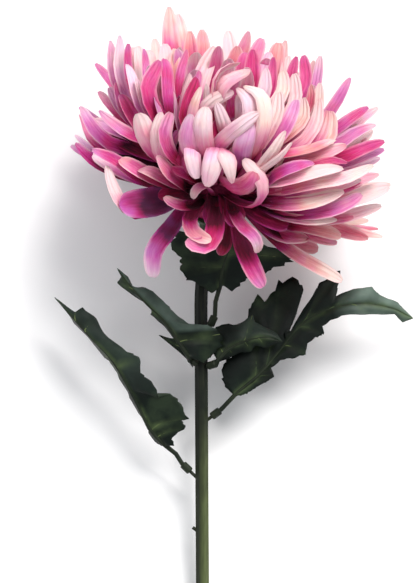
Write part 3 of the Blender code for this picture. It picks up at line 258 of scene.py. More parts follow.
# Petals shaped one by one: width in mm, then in percent the paleness, the warmth and how far the
# inner face is turned to the viewer (the outer face below 0, and below -100 on a petal that folds
# outwards from its root), and points along the middle line. A point is (column, row, depth): squares
# of the photographed view, 0.48 mm each, and mm towards the viewer.
SQUARE = 0.00048
VIEW_MIDDLE = (210.0, 291.5)
VIEW_POINT = Vector((0.00336, 0.18492, 0.0))
VIEW_DISTANCE = 3.5
VIEWER = Vector((0.0, 0.0, 1.0))
SHAPED_PETALS = (
    # left side
    (7.0, 35, 15, 50, (151, 154, 22), (112, 146, 26), (92, 128, 30), (80, 107, 32)),
    (7.0, 40, 80, 0, (151, 160, 12), (112, 157, 14), (88, 140, 18), (76, 116, 22)),
    (6.0, 30, 30, 50, (158, 146, 34), (128, 134, 36), (110, 122, 38), (98, 112, 38)),
    (7.0, 75, 15, 50, (140, 140, 20), (112, 128, 20), (93, 118, 18)),
    (6.5, 20, 30, 50, (166, 186, 36), (138, 178, 42), (115, 161, 45), (91, 153, 46)),
    (7.5, 80, 20, 50, (160, 186, 30), (130, 176, 36), (108, 165, 38), (92, 158, 38)),
    (14.0, -22, -35, 60, (174, 198, 36), (148, 205, 44), (120, 206, 50)),
    (7.8, 135, 65, 50, (152, 208, 32), (138, 215, 38), (126, 211, 43), (116, 198, 47), (110, 183, 48),
     (106, 166, 46)),
    (10.2, 42, 75, -70, (168, 168, 40), (154, 152, 50), (146, 137, 54), (140, 114, 52)),
    (8.0, 60, 80, 60, (188, 194, 40), (180, 184, 48), (168, 173, 55), (158, 156, 60)),
    (6.2, 62, 70, -60, (172, 174, 42), (159, 158, 56), (155, 135, 60), (159, 111, 58)),
    (7.8, 35, 45, 60, (184, 166, 42), (170, 155, 54), (163, 134, 60), (168, 112, 58)),
    (8.0, 55, 80, 50, (172, 186, 38), (150, 178, 46), (133, 168, 48), (120, 160, 46)),
    (7.0, 60, 85, 50, (176, 186, 44), (160, 178, 50), (147, 170, 52), (138, 166, 50)),
    (8.5, -5, 60, 50, (196, 182, 40), (182, 166, 48), (168, 152, 50)),
    (8.0, -5, 50, 50, (200, 186, 42), (186, 176, 52), (170, 172, 54)),
    # Painted shade: these two are painted dark maroon where the hollow on the left lies in shade.
    (9.0, -50, 40, 50, (165, 160, 26), (135, 148, 24), (112, 135, 22)),
    (9.0, -50, 40, 50, (165, 165, 20), (130, 155, 18), (112, 146, 16)),
    # left, standing up
    (6.2, 45, 30, 50, (160, 140, 18), (130, 110, 14), (114, 75, 10), (111, 40, 8)),
    (6.4, 90, 5, 50, (162, 138, 24), (132, 105, 20), (120, 72, 14), (119, 36, 12)),
    (5.0, 0, 40, 30, (164, 134, 30), (136, 100, 26), (128, 75, 20), (126, 45, 16)),
    (7.0, 85, 100, 40, (166, 132, 12), (142, 95, 4), (134, 47, -2)),
    (6.6, 95, 70, 40, (168, 132, 18), (146, 95, 10), (139, 45, 4)),
    (5.0, 15, 20, 20, (170, 132, 26), (149, 95, 22), (145, 48, 14)),
    (7.0, 65, 10, 30, (160, 135, 34), (138, 105, 36), (130, 62, 28)),
    (6.4, 60, 20, 20, (166, 134, 38), (146, 112, 40), (137, 78, 34)),
    (7.8, -5, 45, 60, (176, 139, 34), (154, 112, 42), (147, 88, 40), (158, 62, 32)),
    (5.6, 25, 30, 20, (150, 130, 8), (120, 95, 0), (108, 78, -6), (96, 62, -8)),
    (5.0, 35, 70, 20, (140, 135, 4), (115, 112, -2), (98, 93, -6)),
    (5.6, 60, 10, 30, (145, 135, 12), (122, 112, 10), (107, 90, 6)),
    (7.4, -5, 35, 40, (155, 140, 22), (128, 116, 22), (115, 84, 16)),
    (8.4, -15, 45, 40, (160, 142, 30), (138, 125, 32), (122, 92, 26)),
    (6.5, 100, 90, 50, (172, 128, 6), (160, 85, -6), (155, 38, -10)),
    (6.2, 95, 80, 40, (170, 130, 14), (153, 90, 6), (150, 48, 0)),
    (6.8, 85, 50, 30, (178, 136, 28), (164, 100, 24), (162, 60, 14)),
    (5.0, 50, 0, 20, (176, 140, 38), (161, 118, 44), (157, 96, 42)),
    # back, seen over the middle
    (8.8, 70, 100, 60, (190, 131, -6), (174, 70, -14), (168, 7, -16)),
    (8.0, 74, 100, 60, (196, 128, -12), (185, 70, -22), (178, 14, -24)),
    (8.0, 45, 110, 60, (200, 125, -4), (192, 75, -12), (190, 31, -14)),
    (8.2, 50, 110, 60, (208, 122, -8), (204, 75, -18), (202, 29, -20)),
    (8.4, 95, 45, 40, (196, 130, 20), (199, 85, 22), (213, 47, 14)),
    (7.0, 10, 35, 60, (208, 122, 0), (214, 80, -4), (219, 47, -8)),
    (8.0, 15, 25, 40, (190, 135, 34), (189, 102, 42), (203, 72, 40)),
    (5.6, 0, 50, 30, (182, 132, 26), (178, 85, 24), (186, 50, 16)),
    (7.0, 65, 115, 40, (180, 130, 18), (174, 85, 12), (175, 48, 6)),
    (7.2, 100, 25, 40, (178, 130, 14), (166, 80, 8), (165, 44, 2)),
    (7.6, 15, 30, 40, (182, 138, 32), (168, 105, 36), (166, 58, 26)),
    (7.5, 110, 50, 50, (232, 118, -20), (232, 70, -30), (228, 30, -32)),
    (8.0, 55, 100, 60, (226, 121, -18), (238, 70, -30), (249, 31, -28)),
    (7.4, 40, 70, 60, (236, 121, -12), (249, 75, -22), (262, 38, -24)),
    (8.6, 20, 120, 60, (226, 120, -8), (232, 80, -14), (238, 47, -16)),
    (8.0, 5, 60, 60, (234, 118, 0), (242, 80, -4), (246, 52, -8)),
    (8.0, 0, 55, 60, (240, 118, 8), (251, 82, 6), (253, 50, 0)),
    (7.0, 95, 50, 30, (186, 136, 36), (180, 108, 42), (191, 74, 34)),
    (6.6, 70, 15, 20, (182, 140, 42), (175, 118, 46), (178, 92, 44)),
    # upper right, short tips behind
    (6.6, 70, 30, 40, (250, 118, 10), (262, 85, 6), (269, 50, 0)),
    (8.6, 35, 115, 50, (256, 120, 4), (272, 80, -2), (279, 44, -6)),
    (6.6, 55, 100, 40, (258, 120, -4), (276, 80, -10), (286, 41, -12)),
    (5.6, 0, 50, 30, (256, 120, 18), (270, 92, 18), (274, 58, 12)),
    (6.0, 110, 80, 30, (264, 122, 8), (282, 90, 2), (288, 55, -2)),
    (5.8, -5, 50, 40, (266, 124, 14), (286, 92, 12), (296, 55, 6)),
    (6.2, -5, 45, 40, (270, 126, 24), (297, 102, 28), (306, 80, 24), (303, 54, 18)),
    (5.6, 55, 100, 30, (276, 130, 12), (305, 98, 10), (315, 62, 6)),
    (5.6, 50, 10, 30, (278, 132, 16), (311, 100, 16), (322, 58, 10)),
    (5.6, 20, 120, 30, (272, 138, 32), (300, 122, 38), (311, 104, 38), (311, 84, 34)),
    # upper right, long cream ones before them
    (6.6, 110, 95, 75, (252, 140, 50), (272, 110, 52), (284, 90, 46), (283, 70, 40)),
    (6.2, 95, 60, 75, (262, 150, 48), (284, 125, 50), (296, 100, 46), (294, 73, 40)),
    (6.6, 95, 105, 75, (266, 150, 44), (292, 130, 48), (304, 118, 46), (304, 97, 42)),
    (6.0, 105, 95, 75, (272, 152, 40), (302, 132, 42), (317, 110, 38), (321, 85, 34)),
    (7.0, 35, 10, 75, (266, 152, 54), (282, 134, 58), (292, 116, 56), (297, 100, 52)),
    (6.6, 100, 80, 75, (258, 148, 56), (270, 130, 60), (278, 112, 58), (277, 90, 52)),
    (6.6, 95, 20, 75, (250, 112, 42), (264, 94, 46), (267, 70, 40)),
    (6.0, 85, 70, 75, (280, 156, 46), (304, 142, 48), (317, 122, 44), (319, 98, 40)),
    (6.2, 50, 80, 75, (283, 158, 42), (308, 150, 44), (322, 132, 40), (328, 112, 36)),
    (8.4, 70, 115, 75, (286, 162, 40), (312, 152, 42), (328, 136, 38), (332, 112, 34)),
    (6.2, 15, 25, 40, (280, 150, 22), (318, 128, 25), (336, 104, 26), (350, 77, 24)),
    # right side
    (5.7, -5, 35, 60, (284, 158, 30), (330, 134, 34), (350, 119, 34), (368, 106, 32)),
    (5.9, 70, 30, 60, (284, 160, 24), (335, 138, 26), (360, 121, 26), (378, 109, 24)),
    (6.4, 45, 25, 60, (286, 163, 34), (340, 143, 36), (358, 131, 36), (376, 124, 34)),
    (5.9, 90, 70, 60, (288, 166, 30), (345, 150, 30), (373, 131, 28)),
    (6.7, -15, 50, 60, (284, 171, 42), (345, 157, 42), (366, 147, 41), (384, 139, 40)),
    (6.4, 15, 10, 60, (286, 176, 36), (345, 163, 36), (384, 148, 34)),
    (6.4, 70, 10, 60, (288, 178, 30), (345, 170, 30), (380, 158, 28)),
    (7.1, 60, 80, 60, (283, 166, 48), (315, 157, 50), (346, 146, 46)),
    (6.7, 10, 15, 60, (258, 190, 50), (280, 174, 62), (298, 166, 64), (314, 161, 60)),
    (4.7, -10, 80, 60, (262, 188, 46), (300, 172, 54), (330, 161, 54), (346, 164, 52)),
    (7.2, 110, 70, 60, (270, 184, 58), (300, 177, 62), (325, 170, 62), (344, 167, 58)),
    (6.7, 100, 95, 60, (275, 193, 54), (310, 185, 58), (345, 179, 56), (373, 168, 50)),
    (6.6, 50, 80, 60, (290, 190, 40), (345, 184, 42), (378, 177, 38)),
    (5.4, 80, 45, 60, (278, 197, 50), (320, 192, 52), (361, 180, 48)),
    (5.2, -15, 80, 60, (285, 198, 44), (330, 194, 46), (362, 182, 44)),
    (8.4, 90, 80, 60, (284, 204, 36), (345, 200, 38), (389, 189, 34)),
    (7.2, 100, 95, 60, (275, 205, 50), (305, 204, 54), (344, 193, 52)),
    (7.2, 30, 20, 60, (278, 212, 44), (320, 213, 48), (345, 206, 48), (362, 196, 46)),
    (6.0, 85, 45, 60, (284, 214, 34), (338, 218, 33), (381, 207, 30)),
    (6.4, 5, 105, 60, (284, 216, 40), (320, 220, 42), (353, 218, 40)),
    (4.5, 85, 90, 60, (280, 216, 46), (310, 221, 48), (337, 221, 46)),
    (7.2, 35, 130, 60, (284, 222, 26), (328, 228, 24), (368, 239, 20)),
    (6.7, 40, 130, 60, (280, 222, 32), (310, 228, 34), (342, 235, 32)),
    (5.9, 20, 110, 60, (276, 226, 28), (310, 236, 30), (337, 243, 28)),
    (6.7, 35, 90, 60, (266, 228, 30), (285, 237, 34), (309, 238, 32)),
    (7.2, 20, 130, 60, (266, 226, 14), (293, 243, 14), (318, 250, 13)),
    (6.4, 85, 120, 60, (262, 230, 22), (292, 253, 26), (318, 268, 26), (342, 281, 26)),
    # hanging under the bloom
    (8.4, 80, -16, 50, (186, 208, 34), (172, 228, 40), (155, 250, 42), (152, 278, 40)),
    (6.2, 45, 85, 50, (196, 206, 40), (184, 207, 50), (172, 203, 54), (165, 196, 54)),
    (4.6, 60, 40, 50, (212, 196, 40), (205, 187, 52), (196, 190, 58), (191, 198, 58)),
    (7.0, 75, 85, 50, (200, 206, 40), (190, 219, 48), (192, 231, 54), (201, 238, 58), (211, 241, 60)),
    (8.4, 22, 50, 50, (216, 206, 42), (215, 226, 50), (212, 239, 55), (205, 246, 58), (196, 246, 59),
     (187, 241, 57)),
    # Painted shade: this one is painted grey brown where it hangs in the shade under the head.
    (6.6, -10, 130, 50, (228, 216, 30), (226, 236, 32), (221, 256, 30)),
    (6.0, 72, 40, 50, (234, 214, 46), (242, 227, 52), (252, 235, 54), (258, 243, 54), (260, 254, 52)),
    (8.6, 25, 40, 50, (236, 222, 38), (242, 245, 44), (252, 268, 46), (264, 287, 44)),
    # Painted shade: these five are painted dark maroon to fill the shade under the head.
    (10.0, -60, 60, 50, (216, 200, 40), (214, 215, 44), (212, 226, 46)),
    (10.0, -60, 60, 50, (228, 200, 40), (232, 213, 44), (240, 223, 44)),
    (10.0, -50, 80, 50, (245, 205, 36), (262, 216, 40), (288, 226, 38)),
    (9.0, -50, 80, 50, (250, 212, 30), (275, 228, 32), (302, 236, 30)),
    (9.0, -60, 60, 50, (196, 196, 38), (180, 194, 42), (158, 196, 42)),
    # under the head, carrying it
    (9.2, 40, 30, 0, (195, 164, -4), (166, 151, -38.5), (144, 121, -43)),
    (9.2, 40, 40, 0, (238, 164, -4), (267, 155, -40), (289, 121, -45)),
    # front: arched over, with their tips hanging down
    (7.6, 48, 25, -140, (205, 176, 46), (198, 158, 60), (194, 148, 68), (193, 158, 72), (197, 178, 70)),
    (9.4, 50, 35, -140, (214, 176, 50), (217, 158, 64), (218, 148, 71), (212, 164, 76), (207, 187, 74)),
    (8.6, 52, 55, -140, (224, 178, 50), (221, 158, 62), (223, 148, 70), (231, 163, 76), (236, 184, 73)),
    (9.8, -5, 85, -60, (218, 178, 46), (226, 188, 57), (238, 190, 65), (249, 184, 69), (256, 173, 71)),
    (7.4, 50, 60, 20, (230, 200, 44), (250, 208, 54), (264, 200, 62), (264, 182, 67), (246, 157, 68)),
    # middle: curled inwards round the eye
    (8.2, 30, 30, -50, (203, 172, 50), (190, 155, 62), (186, 138, 68), (192, 115, 68)),
    (9.0, 60, 40, -50, (209, 166, 54), (203, 145, 68), (202, 124, 73), (205, 106, 70)),
    (8.0, -20, 60, 60, (214, 160, 54), (216, 140, 62), (216, 118, 64)),
    (7.2, 66, 35, -50, (213, 156, 58), (226, 138, 73), (243, 124, 78), (258, 113, 75)),
    (9.0, 30, 12, -50, (240, 168, 56), (243, 150, 70), (246, 138, 74), (251, 124, 72)),
    (7.8, 100, 100, -20, (250, 162, 56), (262, 142, 69), (267, 115, 73), (262, 92, 70), (245, 81, 64)),
    (7.8, 110, 30, -20, (246, 140, 60), (252, 118, 70), (250, 98, 70), (237, 84, 64)),
    (7.4, -10, 40, 80, (236, 122, 50), (233, 110, 56), (233, 96, 56)),
    (6.8, 62, 40, -40, (226, 140, 60), (223, 124, 69), (215, 104, 70)),
    (6.4, 55, 45, -90, (202, 126, 56), (205, 108, 63), (217, 98, 65), (233, 92, 62)),
    (6.8, 85, 20, -20, (242, 124, 56), (243, 108, 62), (241, 92, 60)),
    (9.0, -20, 75, 60, (192, 140, 46), (184, 118, 52), (190, 96, 52), (199, 78, 48)),
    (6.6, 45, 95, -20, (198, 142, 54), (190, 122, 60), (193, 104, 60), (202, 90, 56)),
    (5.6, 105, 50, -20, (206, 120, 52), (204, 104, 58), (207, 84, 54)),
    (8.8, 25, 95, 40, (212, 120, 50), (210, 96, 60), (214, 76, 62), (224, 65, 60), (239, 60, 56)),
    (7.4, 30, 80, 40, (222, 118, 52), (216, 98, 62), (222, 84, 66), (233, 77, 64), (248, 74, 58)),
    # between the middle and the right side
    (8.0, 90, 85, -10, (258, 180, 54), (266, 165, 64), (276, 150, 69), (284, 131, 66)),
    (6.0, 100, 75, -10, (252, 182, 54), (266, 170, 64), (282, 158, 68), (295, 145, 64)),
    (8.2, 55, 105, 20, (268, 160, 50), (290, 156, 54), (315, 149, 52), (334, 138, 48)),
    (8.8, -20, 90, 60, (250, 172, 50), (256, 160, 58), (264, 145, 60)),
    (9.4, 0, 62, 50, (228, 186, 48), (240, 177, 58), (256, 168, 61)),
    (8.4, -5, 50, 50, (208, 184, 46), (204, 172, 58), (198, 160, 60)),
)


def between(table, share):
    """The value of a table of (share, value) rows at a share, on straight lines between rows."""
    for (low, a), (high, b) in zip(table, table[1:]):
        if share <= high:
            return a + (b - a) * (share - low) / (high - low)
    return table[-1][1]


def smooth_point(points, share):
    """A point at a share of the length of a smooth curve through the given points."""
    marks = [0.0]
    for a, b in zip(points, points[1:]):
        marks.append(marks[-1] + (b - a).length)
    goal = share * marks[-1]
    last = len(points) - 1
    i = min(sum(1 for mark in marks[1:-1] if mark <= goal), last - 1)
    span = marks[i + 1] - marks[i]
    t = (goal - marks[i]) / span

    def slope(k):
        before, after = max(k - 1, 0), min(k + 1, last)
        return (points[after] - points[before]) * (span / (marks[after] - marks[before]))

    start, end = points[i], points[i + 1]
    return (start * (2 * t ** 3 - 3 * t ** 2 + 1) + end * (3 * t ** 2 - 2 * t ** 3)
            + slope(i) * (t ** 3 - 2 * t ** 2 + t) + slope(i + 1) * (t ** 3 - t ** 2))


def seen_at(column, row, depth):
    """The point of the flower that shows at a place of the photographed view, at a depth in mm."""
    spread = SQUARE * (1.0 - depth * MM / VIEW_DISTANCE)
    return VIEW_POINT + Vector(((column - VIEW_MIDDLE[0]) * spread, (VIEW_MIDDLE[1] - row) * spread,
                                depth * MM))


def head_direction(lean, turn):
    """Unit vector at an angle from the head's axis, turned from its right side over its back."""
    outward = HEAD_RIGHT * math.cos(turn) + HEAD_BACK * math.sin(turn)
    return HEAD_AXIS * math.cos(lean) + outward * math.sin(lean)


def bent_at_floor(point):
    """Lets a line that would sink into the surface run along it instead."""
    height = TURNED.row[2].dot(point) + CUT_END[2]
    above = (height - LOWEST_LINE) / BEND_SOFTNESS
    if above > BEND_REACH:
        return point
    return point + TURNED.row[2] * (LOWEST_LINE + BEND_SOFTNESS * math.log1p(math.exp(above)) - height)


def ring_petal(inward, turn, length_share, draw):
    """Points and inner-face directions along one petal of the rings, and its width."""
    turn += draw.uniform(-TURN_JITTER, TURN_JITTER)
    root_lean = math.acos(between(((0.0, math.cos(OUTER_ROOT)), (1.0, math.cos(INNER_ROOT))), inward))
    cupped = max(0.0, math.cos(turn - CUP_TURN)) * (1.0 - inward)
    end_lean = math.radians(between(END_ANGLES, inward)) - CUP_LIFT * cupped
    end_lean += draw.uniform(-LEAN_JITTER, LEAN_JITTER)
    swerve = draw.uniform(-SWERVE, SWERVE)
    twist = draw.uniform(-TWIST, TWIST)
    length = between(LENGTHS, inward) * (1.0 + draw.uniform(-LENGTH_JITTER, LENGTH_JITTER))
    length *= length_share * (1.0 - CUP_SHORTER * cupped)
    points = [HEAD_CENTRE + head_direction(root_lean, turn) * ROOT_RADIUS]
    facings = []
    for step in range(PATH_STEPS + 1):
        share = step / PATH_STEPS
        lean = root_lean + (end_lean - root_lean) * share ** CURL
        along = head_direction(lean, turn + swerve * share)
        inner = head_direction(lean - math.pi / 2, turn + swerve * share)
        facings.append(Matrix.Rotation(twist * share, 3, along) @ inner)
        points.append(points[-1] + along * (length / PATH_STEPS))
    return points[:-1], facings, between(WIDTHS, inward)


def shaped_petal(guides, look):
    """Points and inner-face directions along a petal that runs from the core through given points."""
    guides = [seen_at(*guide) for guide in guides]
    root = HEAD_CENTRE + (guides[0] - HEAD_CENTRE).normalized() * ROOT_RADIUS
    points = [smooth_point([root, *guides], step / PATH_STEPS) for step in range(PATH_STEPS + 1)]
    facing = HEAD_CENTRE + HEAD_AXIS * FACING_HEIGHT - points[0]
    if look < -1.0:
        facing, look = -facing, look + 1.0
    facings = []
    for step in range(PATH_STEPS + 1):
        along = (points[min(step + 1, PATH_STEPS)] - points[max(step - 1, 0)]).normalized()
        facing = (facing - along * facing.dot(along)).normalized()
        share = abs(look) * min(1.0, step / FACE_STEPS)
        shown = facing * (1.0 - share) + VIEWER * math.copysign(share, look)
        facings.append((shown - along * shown.dot(along)).normalized())
    return points, facings


def has_room(points, others, room):
    """Whether a petal keeps clear of other petals' lines along its middle."""
    steps = [round(share * PATH_STEPS) for share in ROOM_SHARES]
    return all((points[step] - line[step]).length >= room for step in steps for line in others)


petal_lines = []
for width, pale, warm, look, *guides in SHAPED_PETALS:
    points, facings = shaped_petal(guides, look / 100)
    petal_lines.append((points, facings, width * MM * SOFT_FULLNESS, pale / 100, warm / 100))
shaped = [line[0] for line in petal_lines]
colour_draw = random.Random(COLOUR_SEED)
for count, seed, room, length_share, inmost_from, front_limit, paler in RING_SETS:
    place_draw = random.Random(seed)
    turned = seed - RING_SETS[0][1]
    for number in range(count):
        inward = inmost_from + (1.0 - inmost_from) * (number + 0.5) / count
        points, facings, width = ring_petal(inward, number * GOLDEN_ANGLE + turned, length_share,
                                            place_draw)
        tip = points[-1]
        aside = tip.x - HEAD_CENTRE.x
        # Painted light: ring petals are painted paler towards the head's right, which faces the key light.
        pale = RING_PALE + paler + aside / PAINTED_LIGHT_ACROSS + colour_draw.uniform(-PALE_JITTER, PALE_JITTER)
        warm = RING_WARM + aside / WARM_ACROSS + colour_draw.uniform(-WARM_JITTER, WARM_JITTER)
        if tip.z < front_limit and has_room(points, shaped, room):
            petal_lines.append((points, facings, width, pale, warm))


def placed(name, data):
    """A new object in the scene."""
    made = bpy.data.objects.new(name, data)
    bpy.context.scene.collection.objects.link(made)
    return made


def built(name, bm):
    """A new object with the faces of a bmesh."""
    mesh = bpy.data.meshes.new(name)
    bm.to_mesh(mesh)
    bm.free()
    return placed(name, mesh)


def line_mesh(name, rows):
    """A mesh of open chains. Each chain is a list of (point, {name: value})."""
    mesh = bpy.data.meshes.new(name)
    spots, links, carried = [], [], {}
    for chain in rows:
        for number, (point, values) in enumerate(chain):
            if number:
                links.append((len(spots) - 1, len(spots)))
            spots.append(point)
            for key, value in values.items():
                carried.setdefault(key, []).append(value)
    mesh.from_pydata(spots, links, [])
    for key, values in carried.items():
        if isinstance(values[0], Vector):
            stored = mesh.attributes.new(key, "FLOAT_VECTOR", "POINT")
            stored.data.foreach_set("vector", [number for value in values for number in value])
        else:
            mesh.attributes.new(key, "FLOAT", "POINT").data.foreach_set("value", values)
    return placed(name, mesh)


def new_tree(name, sizes):
    """A Geometry Nodes tree with a geometry input and output and named sizes."""
    tree = bpy.data.node_groups.new(name, "GeometryNodeTree")
    tree.interface.new_socket("Lines", in_out="INPUT", socket_type="NodeSocketGeometry")
    tree.interface.new_socket("Made", in_out="OUTPUT", socket_type="NodeSocketGeometry")
    for label, value in sizes.items():
        kind = "NodeSocketInt" if isinstance(value, int) else "NodeSocketFloat"
        tree.interface.new_socket(label, in_out="INPUT", socket_type=kind).default_value = value
    return tree, source(tree, "NodeGroupInput").outputs


def named(tree, name, kind="FLOAT"):
    return wire(source(tree, "GeometryNodeInputNamedAttribute", data_type=kind), {"Name": name})


def scaled(vector, factor):
    return put("ShaderNodeVectorMath", {0: vector, "Scale": factor}, operation="SCALE")


def moved(geometry, offset):
    return put("GeometryNodeSetPosition", {0: geometry, "Offset": offset})


def swept(lines, ring, scale):
    """Sweeps a ring along lines, with closed ends."""
    return put("GeometryNodeCurveToMesh",
               {"Curve": lines, "Profile Curve": ring, "Scale": scale, "Fill Caps": True})


def close_tree(geometry, finish):
    """Ends a tree with plain smooth faces in one finish."""
    smooth = put("GeometryNodeSetShadeSmooth", {0: geometry})
    real = put("GeometryNodeRealizeInstances", {0: smooth})
    dressed = put("GeometryNodeSetMaterial", {0: real, "Material": finish})
    put("NodeGroupOutput", {0: dressed})


def flattened(piece):
    """Leaves the plain mesh that a piece's modifiers make."""
    evaluated = piece.evaluated_get(bpy.context.evaluated_depsgraph_get())
    plain = bpy.data.meshes.new_from_object(evaluated)
    piece.modifiers.clear()
    piece.data = plain
    return piece


def grown(piece, tree, sizes):
    """Runs a tree on a piece with its own sizes."""
    modifier = piece.modifiers.new(tree.name, "NODES")
    modifier.node_group = tree
    for socket in tree.interface.items_tree:
        if socket.name in sizes:
            modifier[socket.identifier] = sizes[socket.name]
    return flattened(piece)


def times(first, second):
    return calc("MULTIPLY", first, second)


def stretched(where, scales):
    return put("ShaderNodeMapping", {"Vector": where, "Scale": scales})


def read(tree, *names):
    """Values that the mesh carries for its material."""
    return [source(tree, "ShaderNodeAttribute", attribute_name=name).outputs["Fac"] for name in names]


# Plain-woven cloth: threads across two directions of a place, and yarns that take the dye unevenly
woven, given = new_effect("woven cloth", {"Place": "Vector", "Threads": "Float"},
                          {"Weave": "Float", "Yarn": "Float"})
spread = scaled(given["Place"], given["Threads"])
spot = split(spread)
waves = [calc("SINE", times(spot[way], math.pi)) for way in ("X", "Y")]
put("NodeGroupOutput", {"Weave": times(*waves),
                        "Yarn": noise(stretched(spread, (1.0, 0.08, 1.0)), 0.7, 2.0)})

# The dye, from the root's colour to the bleached tip's, and how it is on the lilac petals (cold)
# and on the coral ones (warm)
DYE_PLACES = (0.0, 0.12, 0.27, 0.46, 0.64, 0.80, 0.93, 1.0)
PINK_DYE = ((0.050, 0.003, 0.012), (0.24, 0.004, 0.032), (0.44, 0.008, 0.080), (0.56, 0.026, 0.165),
            (0.70, 0.105, 0.290), (0.83, 0.270, 0.400), (0.89, 0.450, 0.510), (0.89, 0.590, 0.600))
LILAC_DYE = ((0.045, 0.003, 0.018), (0.20, 0.004, 0.045), (0.36, 0.010, 0.130), (0.46, 0.036, 0.260),
             (0.58, 0.115, 0.390), (0.72, 0.270, 0.540), (0.80, 0.420, 0.630), (0.85, 0.550, 0.690))
CORAL_DYE = ((0.050, 0.003, 0.010), (0.23, 0.004, 0.022), (0.44, 0.010, 0.055), (0.56, 0.045, 0.120),
             (0.70, 0.150, 0.190), (0.79, 0.290, 0.280), (0.86, 0.470, 0.420), (0.89, 0.620, 0.550))
PETAL_LONG = 17.0  # how long a petal is in half widths, for the cloth's pattern
DIP_CURVE = 1.8  # the larger this is, the nearer to the root the dye fades
PAINTED_SHADE_AT_ROOT = 1.35  # how much darker the painted shade makes the petals at their roots
PLEATS = 9.5  # how close the pressed folds are across a petal

petal_fabric, tree, shader = new_finish("petal_fabric", 0.62, 0.16)
share, across, inner, pale, warm, deep, petal_id = read(
    tree, "share", "across", "inner", "pale", "warm", "deep", "petal")
cloth = put("ShaderNodeCombineXYZ", {0: across, 1: times(share, PETAL_LONG), 2: petal_id})
streak = noise(stretched(cloth, (5.0, 0.16, 7.0)), 1.0)
unspent = calc("SUBTRACT", 1.0, share)
dipped = calc("SUBTRACT", 1.0, calc("POWER", unspent, DIP_CURVE))
bleached = calc("MULTIPLY_ADD", calc("SUBTRACT", dipped, 0.8), plus(pale, 1.1),
                calc("MULTIPLY_ADD", pale, 0.47, 0.33))
bleached = calc("MAXIMUM", bleached, 0.2)
where = object_place(tree)
bleached = plus(bleached, grade(noise(where, 70.0, 1.0), 0.35, 0.65, -0.11, 0.11))
warm = plus(warm, grade(noise(where, 110.0, 1.0), 0.35, 0.65, -0.14, 0.24))
# Painted shade: petals rooted under the head are painted darker towards their roots.
bleached = calc("MULTIPLY_ADD", times(deep, unspent), -PAINTED_SHADE_AT_ROOT, bleached)
bleached = plus(bleached, grade(inner, 1.0, 0.0, -0.04, 0.12))
bleached = plus(bleached, grade(streak, 0.3, 0.7, -0.06, 0.06))
pink, lilac, coral = [colour_steps(bleached, DYE_PLACES, colours)
                      for colours in (PINK_DYE, LILAC_DYE, CORAL_DYE)]
pink = dye(grade(warm, 0.55, 0.1), pink, lilac)
pink = dye(grade(warm, 0.85, 1.2), pink, coral)
violet = times(grade(warm, 0.0, -0.5), grade(bleached, 0.15, 0.6, 0.1, 0.55))
pink = dye(violet, pink, (0.32, 0.16, 0.46))
rim = times(grade(calc("ABSOLUTE", across), 0.66, 1.0), grade(bleached, 0.25, 0.7, 0.0, 0.5))
pink = dye(rim, pink, (0.86, 0.53, 0.57))
weave = applied(woven, Place=cloth, Threads=14.0)
yarn = times(grade(weave["Yarn"], 0.45, 0.75, 0.0, 0.14), grade(bleached, 0.15, 0.6))
pink = dye(yarn, pink, (0.86, 0.58, 0.62))
folds = calc("COSINE", times(across, PLEATS))
ridges = plus(times(folds, 0.30), streak)
ridges = plus(ridges, times(weave["Weave"], 0.10))
wire(shader, {"Base Color": pink, "Normal": relief(ridges, 0.0006, 0.9), "Sheen Weight": 0.03,
              "Subsurface Weight": 0.30, "Subsurface Radius": (1.0, 0.60, 0.70),
              "Subsurface Scale": 0.004})

petal_tree, given = new_tree("strap petals", {
    "Thickness": 0.035, "Root channel": 0.60, "Tip channel": 0.28, "Ripple": 0.0010, "Ripple scale": 75.0,
    "Section points": 8, "Lowest": 0.0002, "Cut edge": 0.99})
tree = petal_tree
share, across = named(tree, "share"), named(tree, "across")
facing = named(tree, "facing", "FLOAT_VECTOR")
place = source(tree, "GeometryNodeInputPosition")
spot = split(place)
ring = put("GeometryNodeCurvePrimitiveCircle", {"Resolution": given["Section points"], "Radius": 1.0})
for name, value in (("across", spot["X"]), ("inner", grade(spot["Y"], -0.5, 0.5))):
    ring = put("GeometryNodeStoreNamedAttribute", {0: ring, "Name": name, "Value": value},
               data_type="FLOAT", domain="POINT")
flat = put("ShaderNodeCombineXYZ", {0: times(spot["Y"], given["Thickness"]), 1: times(spot["X"], -1.0)})
ring = put("GeometryNodeSetPosition", {0: ring, "Position": flat})
lines = put("GeometryNodeMeshToCurve", {0: given["Lines"]})
lines = put("GeometryNodeSetCurveNormal", {0: lines, "Normal": facing}, mode="FREE")
outline = put("ShaderNodeFloatCurve", {"Value": share})
curve = outline.mapping.curves[0]
while len(curve.points) < len(PETAL_OUTLINE):
    curve.points.new(0.5, 0.5)
for mark, location in zip(curve.points, PETAL_OUTLINE):
    mark.location = location
outline.mapping.update()
half = times(times(named(tree, "width"), 0.5), outline)
straps = swept(lines, ring, half)
channel = grade(share, 0.1, 0.9, given["Root channel"], given["Tip channel"])
crossed = calc("POWER", calc("ABSOLUTE", across), 2.0)
straps = moved(straps, scaled(facing, times(times(crossed, channel), half)))
ripples = noise(place, given["Ripple scale"], 1.0).outputs["Color"]
sway = put("ShaderNodeVectorMath", {0: ripples, 1: (0.5, 0.5, 0.5)}, operation="SUBTRACT")
straps = moved(straps, scaled(sway, times(given["Ripple"], share)))
raised = calc("MAXIMUM", spot["Z"], given["Lowest"])
pressed = put("ShaderNodeCombineXYZ", {0: spot["X"], 1: spot["Y"], 2: raised})
straps = put("GeometryNodeSetPosition", {0: straps, "Position": pressed})
cut_edge = calc("MAXIMUM", calc("ABSOLUTE", across), share)
cut_edge = calc("GREATER_THAN", cut_edge, given["Cut edge"])
straps = put("GeometryNodeSetShadeSmooth",
             {0: straps, "Selection": cut_edge, "Shade Smooth": False}, domain="EDGE")
close_tree(straps, petal_fabric)

